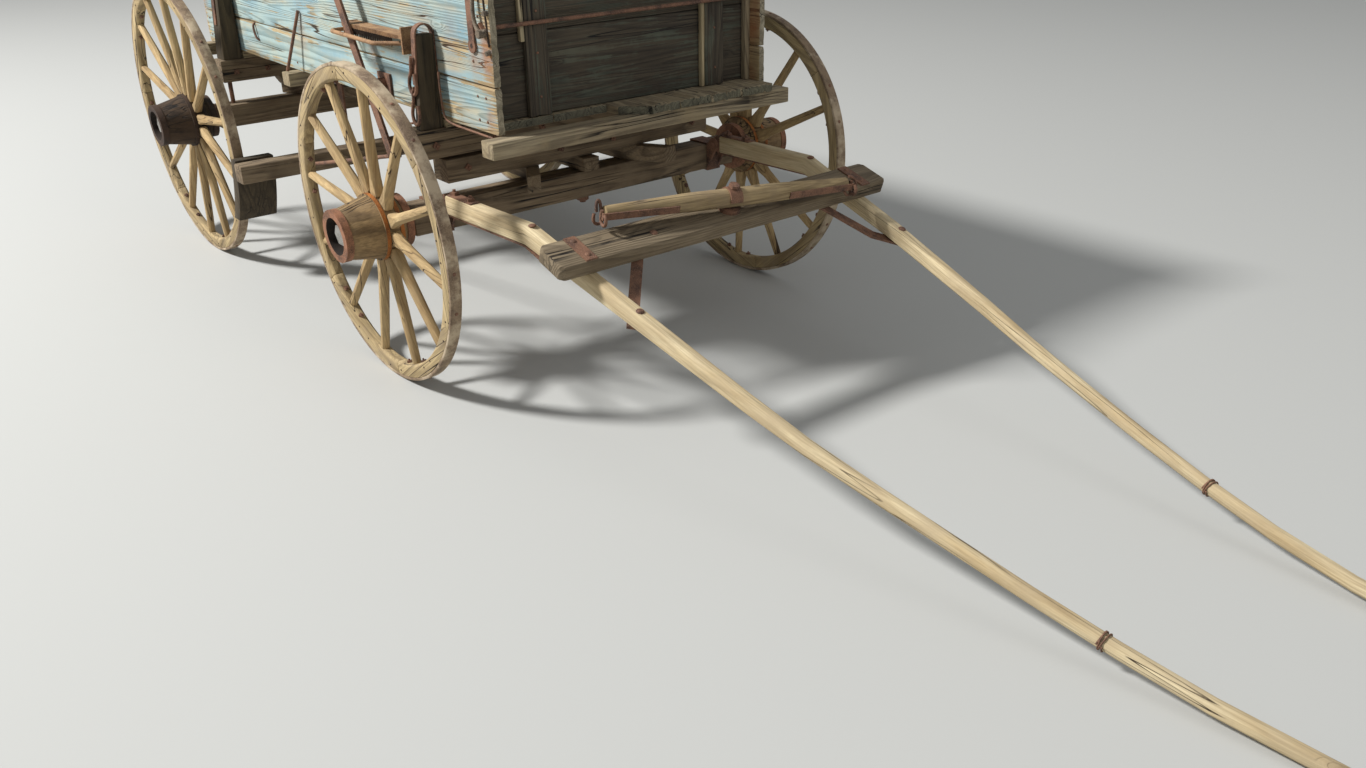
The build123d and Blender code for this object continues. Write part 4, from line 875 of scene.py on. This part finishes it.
# the edge straps end in an eye round their hole; the hole is a black disc on the eye, as painted shade
for name, finish, radius, depth in (("strap_eyes", rusted, 0.0205, 0.0066),
                                    ("strap_holes", black_iron_and_painted_shade, 0.0068, 0.0072)):
    discs = []
    for side, x in itertools.product((-1, 1), (box_front - 0.103, box_rear + 0.103)):
        cylinder(vertices=20, radius=radius, depth=depth, rotation=(math.pi / 2, 0, 0),
                 location=(x, side * (0.533 + depth / 2), side_low.z + 0.2505))
        discs.append(bpy.context.active_object)
    piece = joined(name, discs)
    bpy.ops.object.transform_apply()
    smooth(piece, 40)
    settle(piece, finish, "wagon", "iron")

# wire left on the left front stake, with a ring at its head
pale_wire = rusty_iron("dull_wire", "#6d6a64", "#a19c92", "#c9c5ba")
stake_front = (front_x + 0.045, 0, 0)
ring_turns = [math.radians(90 + 45 * step) for step in range(8)]
wires = [
    bent_rod("stake_wire", [
        (0, 0.596, 1.075), (0.006, 0.588, 1.03), (0.007, 0.592, 0.985), (0.008, 0.612, 0.945),
        (0.006, 0.644, 0.91), (0, 0.662, 0.896)], 0.0019, stake_front),
    bent_rod("stake_ring", [(0.003, 0.6 + 0.022 * math.cos(turn), 1.083 + 0.022 * math.sin(turn))
                            for turn in ring_turns], 0.0026, stake_front),
]
settle(joined("stake_wires", wires), pale_wire, "wagon", "iron")

# Shafts, crossbar and singletree
# Bent hickory poles, square at the heel and shaved round towards the tip, silver-tan with long checks.
# The crossbar is bolted across them under iron plates, and the singletree swings on its pin.
shaft_hickory = bare_wood("silvered_hickory", "#e4d5b0", "#bda67d", "#7b664a", 8.0, 0.013, ringed=0.22,
                          dusty="#b5a282")
singletree_ash = bare_wood("brown_singletree_ash", "#b59f78", "#8e7853", "#4d3d2a", 8.0, 0.018, ringed=0.35,
                           dusty="#86735a")
crossbar_oak = bare_wood("dark_crossbar_oak", "#93836a", "#6c5d47", "#3a3025", 30.0, 0.03, dusty="#776852")


def lay_grain_along(piece, stations):
    """Grain that follows a bent pole: the way along comes from the middles of its cross sections."""
    mesh = piece.data
    spots = [vertex.co for vertex in mesh.vertices]
    low, high = min(spot.x for spot in spots), max(spot.x for spot in spots)
    groups = {}
    for spot in spots:
        groups.setdefault(round((spot.x - low) / (high - low) * stations), []).append(spot)
    lines = [sum(groups[key], Vector()) / len(groups[key]) for key in sorted(groups) if len(groups[key]) > 7]
    number = next(piece_numbers) % 97
    lengths = [0.0]
    for a, b in zip(lines, lines[1:]):
        lengths.append(lengths[-1] + (b - a).length)
    values = []
    for spot in spots:
        found = []
        for index, (a, b) in enumerate(zip(lines, lines[1:])):
            step = b - a
            share = min(1.0, max(0.0, (spot - a).dot(step) / step.length_squared))
            foot = a + share * step
            found.append(((spot - foot).length, lengths[index] + share * step.length, foot))
        gap, run, foot = min(found, key=lambda row: row[0])
        values += [10 * number + run - lengths[-1] / 2, spot.y - foot.y + 0.37 * number,
                   spot.z - foot.z - 0.21 * number]
    mesh.attributes.new("grain", "FLOAT_VECTOR", "POINT").data.foreach_set("vector", values)


for node in ("right_shaft", "left_shaft"):
    pole = taken_from(node, f"{node}_pole")
    soften(pole, 0.004, 20)
    lay_grain_along(pole, 24)
    settle(pole, shaft_hickory, "shaft_pair", "shaft_wood", node)

# wire wrapped round each shaft near its tip, where the breeching was tied
wraps = []
for side, reach, half, height in ((-1, 2.365, 0.3425, 0.069), (1, 2.215, 0.362, 0.099)):
    middle = Vector((front_x + reach, side * half, height))
    way = Vector((0.2, -side * 0.026, -0.04)).normalized()
    level = way.cross(Vector((0, 0, 1))).normalized()
    rise = level.cross(way)
    turns = []
    for step in range(3 * 8 + 1):
        turn = math.radians(45 * step)
        run = (step / 24 - 0.5) * 0.013 + 0.004 * math.sin(turn / 2)
        turns.append(middle + way * run + level * 0.0225 * math.cos(turn) + rise * 0.0232 * math.sin(turn))
    wraps.append(bent_rod("wire_wrap", turns, 0.0019))
settle(joined("wire_wraps", wraps), rusted, "shaft_pair", "iron")

# bolts: through the shafts, through the crossbar's plates and one on the crossbar
plank_middle, plank_lift = 0.778, 0.5346
plank_way, plank_up = Vector((0.958, 0, -0.287)), Vector((0.287, 0, 0.958))
bolts = []
for side in (-1, 1):
    plate = Vector((front_x + plank_middle, side * 0.549, plank_lift)) + plank_up * 0.05
    bolts += [((front_x + 0.575, side * 0.566, 0.5985), (-0.05, 0, 1), 1.05),
              ((front_x + 1.03, side * 0.528, 0.459), (0.3, 0, 0.95), 1.05),
              (plate - plank_way * 0.036, plank_up, 0.75),
              (plate + plank_way * 0.036, plank_up, 0.75)]
lone_bolt = Vector((front_x + plank_middle, -0.3, plank_lift)) + plank_up * 0.045 + plank_way * 0.012
bolts.append((lone_bolt, plank_up, 1.1))
set_out("shaft_bolts", round_head, bolts, rusted, "shaft_pair")

dressed("crossbar", "worn_crossbar", crossbar_oak, "shaft_pair", "shaft_wood", 0.005, grain=(0, 1, 0))
tree_bar = taken_from("singletree", "turned_singletree")
lay_grain(tree_bar, (0.182, 0.983, 0))
smooth(tree_bar, 35)
settle(tree_bar, singletree_ash, "swing_bar", "shaft_wood", "singletree")

# loose hooks in the straps at its ends; each point is given out from the end and up
hooks = []
forward = Vector((0.983, -0.182, 0))
for end, out, back, bends in (
    (Vector((0.4507, -0.418, 0.642)), Vector((-0.182, -0.983, 0)), -0.01, (
        (0.019, 0.002), (0.019, 0.024), (0.012, 0.038), (0.005, 0.026), (0.005, 0.0), (0.003, -0.018),
        (0.005, -0.032), (0.016, -0.036), (0.028, -0.03), (0.031, -0.014), (0.026, -0.002))),
    (Vector((0.605, 0.418, 0.596)), Vector((0.182, 0.983, 0)), 0.006, (
        (0.004, 0.026), (0.016, 0.024), (0.032, 0.01), (0.036, -0.01), (0.028, -0.026), (0.014, -0.036),
        (-0.004, -0.034), (-0.01, -0.02))),
):
    points = [end + out * u + forward * back + Vector((0, 0, z)) for u, z in bends]
    hooks.append(bent_rod("trace_hook", points, 0.0048))
settle(joined("trace_hooks", hooks), rusted, "swing_bar", "iron")

# an iron strap over the heel of each shaft, with its bolts
straps, bolts = [], []
heel, heel_slope = Vector((front_x + 0.19, 0.5745, 0.595)), 0.018
for side in (-1, 1):
    bpy.ops.mesh.primitive_cube_add(size=1, location=(heel.x, side * heel.y, heel.z),
                                    rotation=(0, -heel_slope, 0), scale=(0.15, 0.034, 0.005))
    straps.append(bpy.context.active_object)
    for shift in (-0.055, 0.045):
        spot = (heel.x + shift, side * heel.y, heel.z + 0.002 + heel_slope * shift)
        bolts.append((spot, (0, 0, 1), 0.95))
heel_straps = joined("heel_straps", straps)
bpy.ops.object.transform_apply()
soften(heel_straps, 0.0015)
settle(heel_straps, rusted, "shaft_pair", "iron")
set_out("heel_nuts", square_nut, bolts, rusted, "shaft_pair")

# Studio
# A pale floor, a large soft lamp from the wagon's right rear as the sun stands, and an even fill.
bpy.ops.mesh.primitive_plane_add(size=60, location=(0, 0, -0.0005))
ground = bpy.context.active_object
ground.name = "studio_floor"
ground_paint, tree, surface = finish_named("pale_floor")
feed(surface, {"Base Color": linear("#b9b9b5"), "Roughness": 0.95})
ground.data.materials.append(ground_paint)

world = bpy.data.worlds.new("studio")
bpy.context.scene.world = world
world.use_nodes = True
feed(world.node_tree.nodes["Background"], {"Color": linear("#e9ecef"), "Strength": 0.42})


def lamp(name, place, aim, size, power):
    """A large soft lamp aimed at a point."""
    light = bpy.data.lights.new(name, "AREA")
    light.shape = "DISK"
    light.size = size
    light.energy = power
    holder = placed(name, light)
    holder.location = place
    holder.rotation_euler = (Vector(aim) - Vector(place)).to_track_quat("-Z", "Y").to_euler()


lamp("sun_side_lamp", (-6.5, -9.7, 11.0), (0, 0, 0.4), 2.2, 3500)
lamp("front_fill", (9.0, 2.0, 6.5), (0, 0, 0.5), 5.0, 130)

# Camera
# Where the photographer stood, from the fit of the wheels, the box and the shafts.
focal_pixels, photo_width = 1140.41, 1366
stand = Vector((front_x + 3.308, -2.2238, 1.606))
yaw, pitch, roll = 2.4625, -0.4483, -0.0182
ahead = Vector((math.cos(pitch) * math.cos(yaw), math.cos(pitch) * math.sin(yaw), math.sin(pitch)))
right = ahead.cross(Vector((0, 0, 1))).normalized()
turned = Matrix((right, right.cross(ahead), -ahead)).transposed().to_4x4() @ Matrix.Rotation(roll, 4, "Z")
lens = bpy.data.cameras.new("photo_camera")
lens.sensor_width = 36
lens.lens = focal_pixels / photo_width * 36
camera = placed("photo_camera", lens)
camera.matrix_world = Matrix.Translation(stand) @ turned
bpy.context.scene.camera = camera
bpy.context.scene.view_settings.view_transform = "Standard"
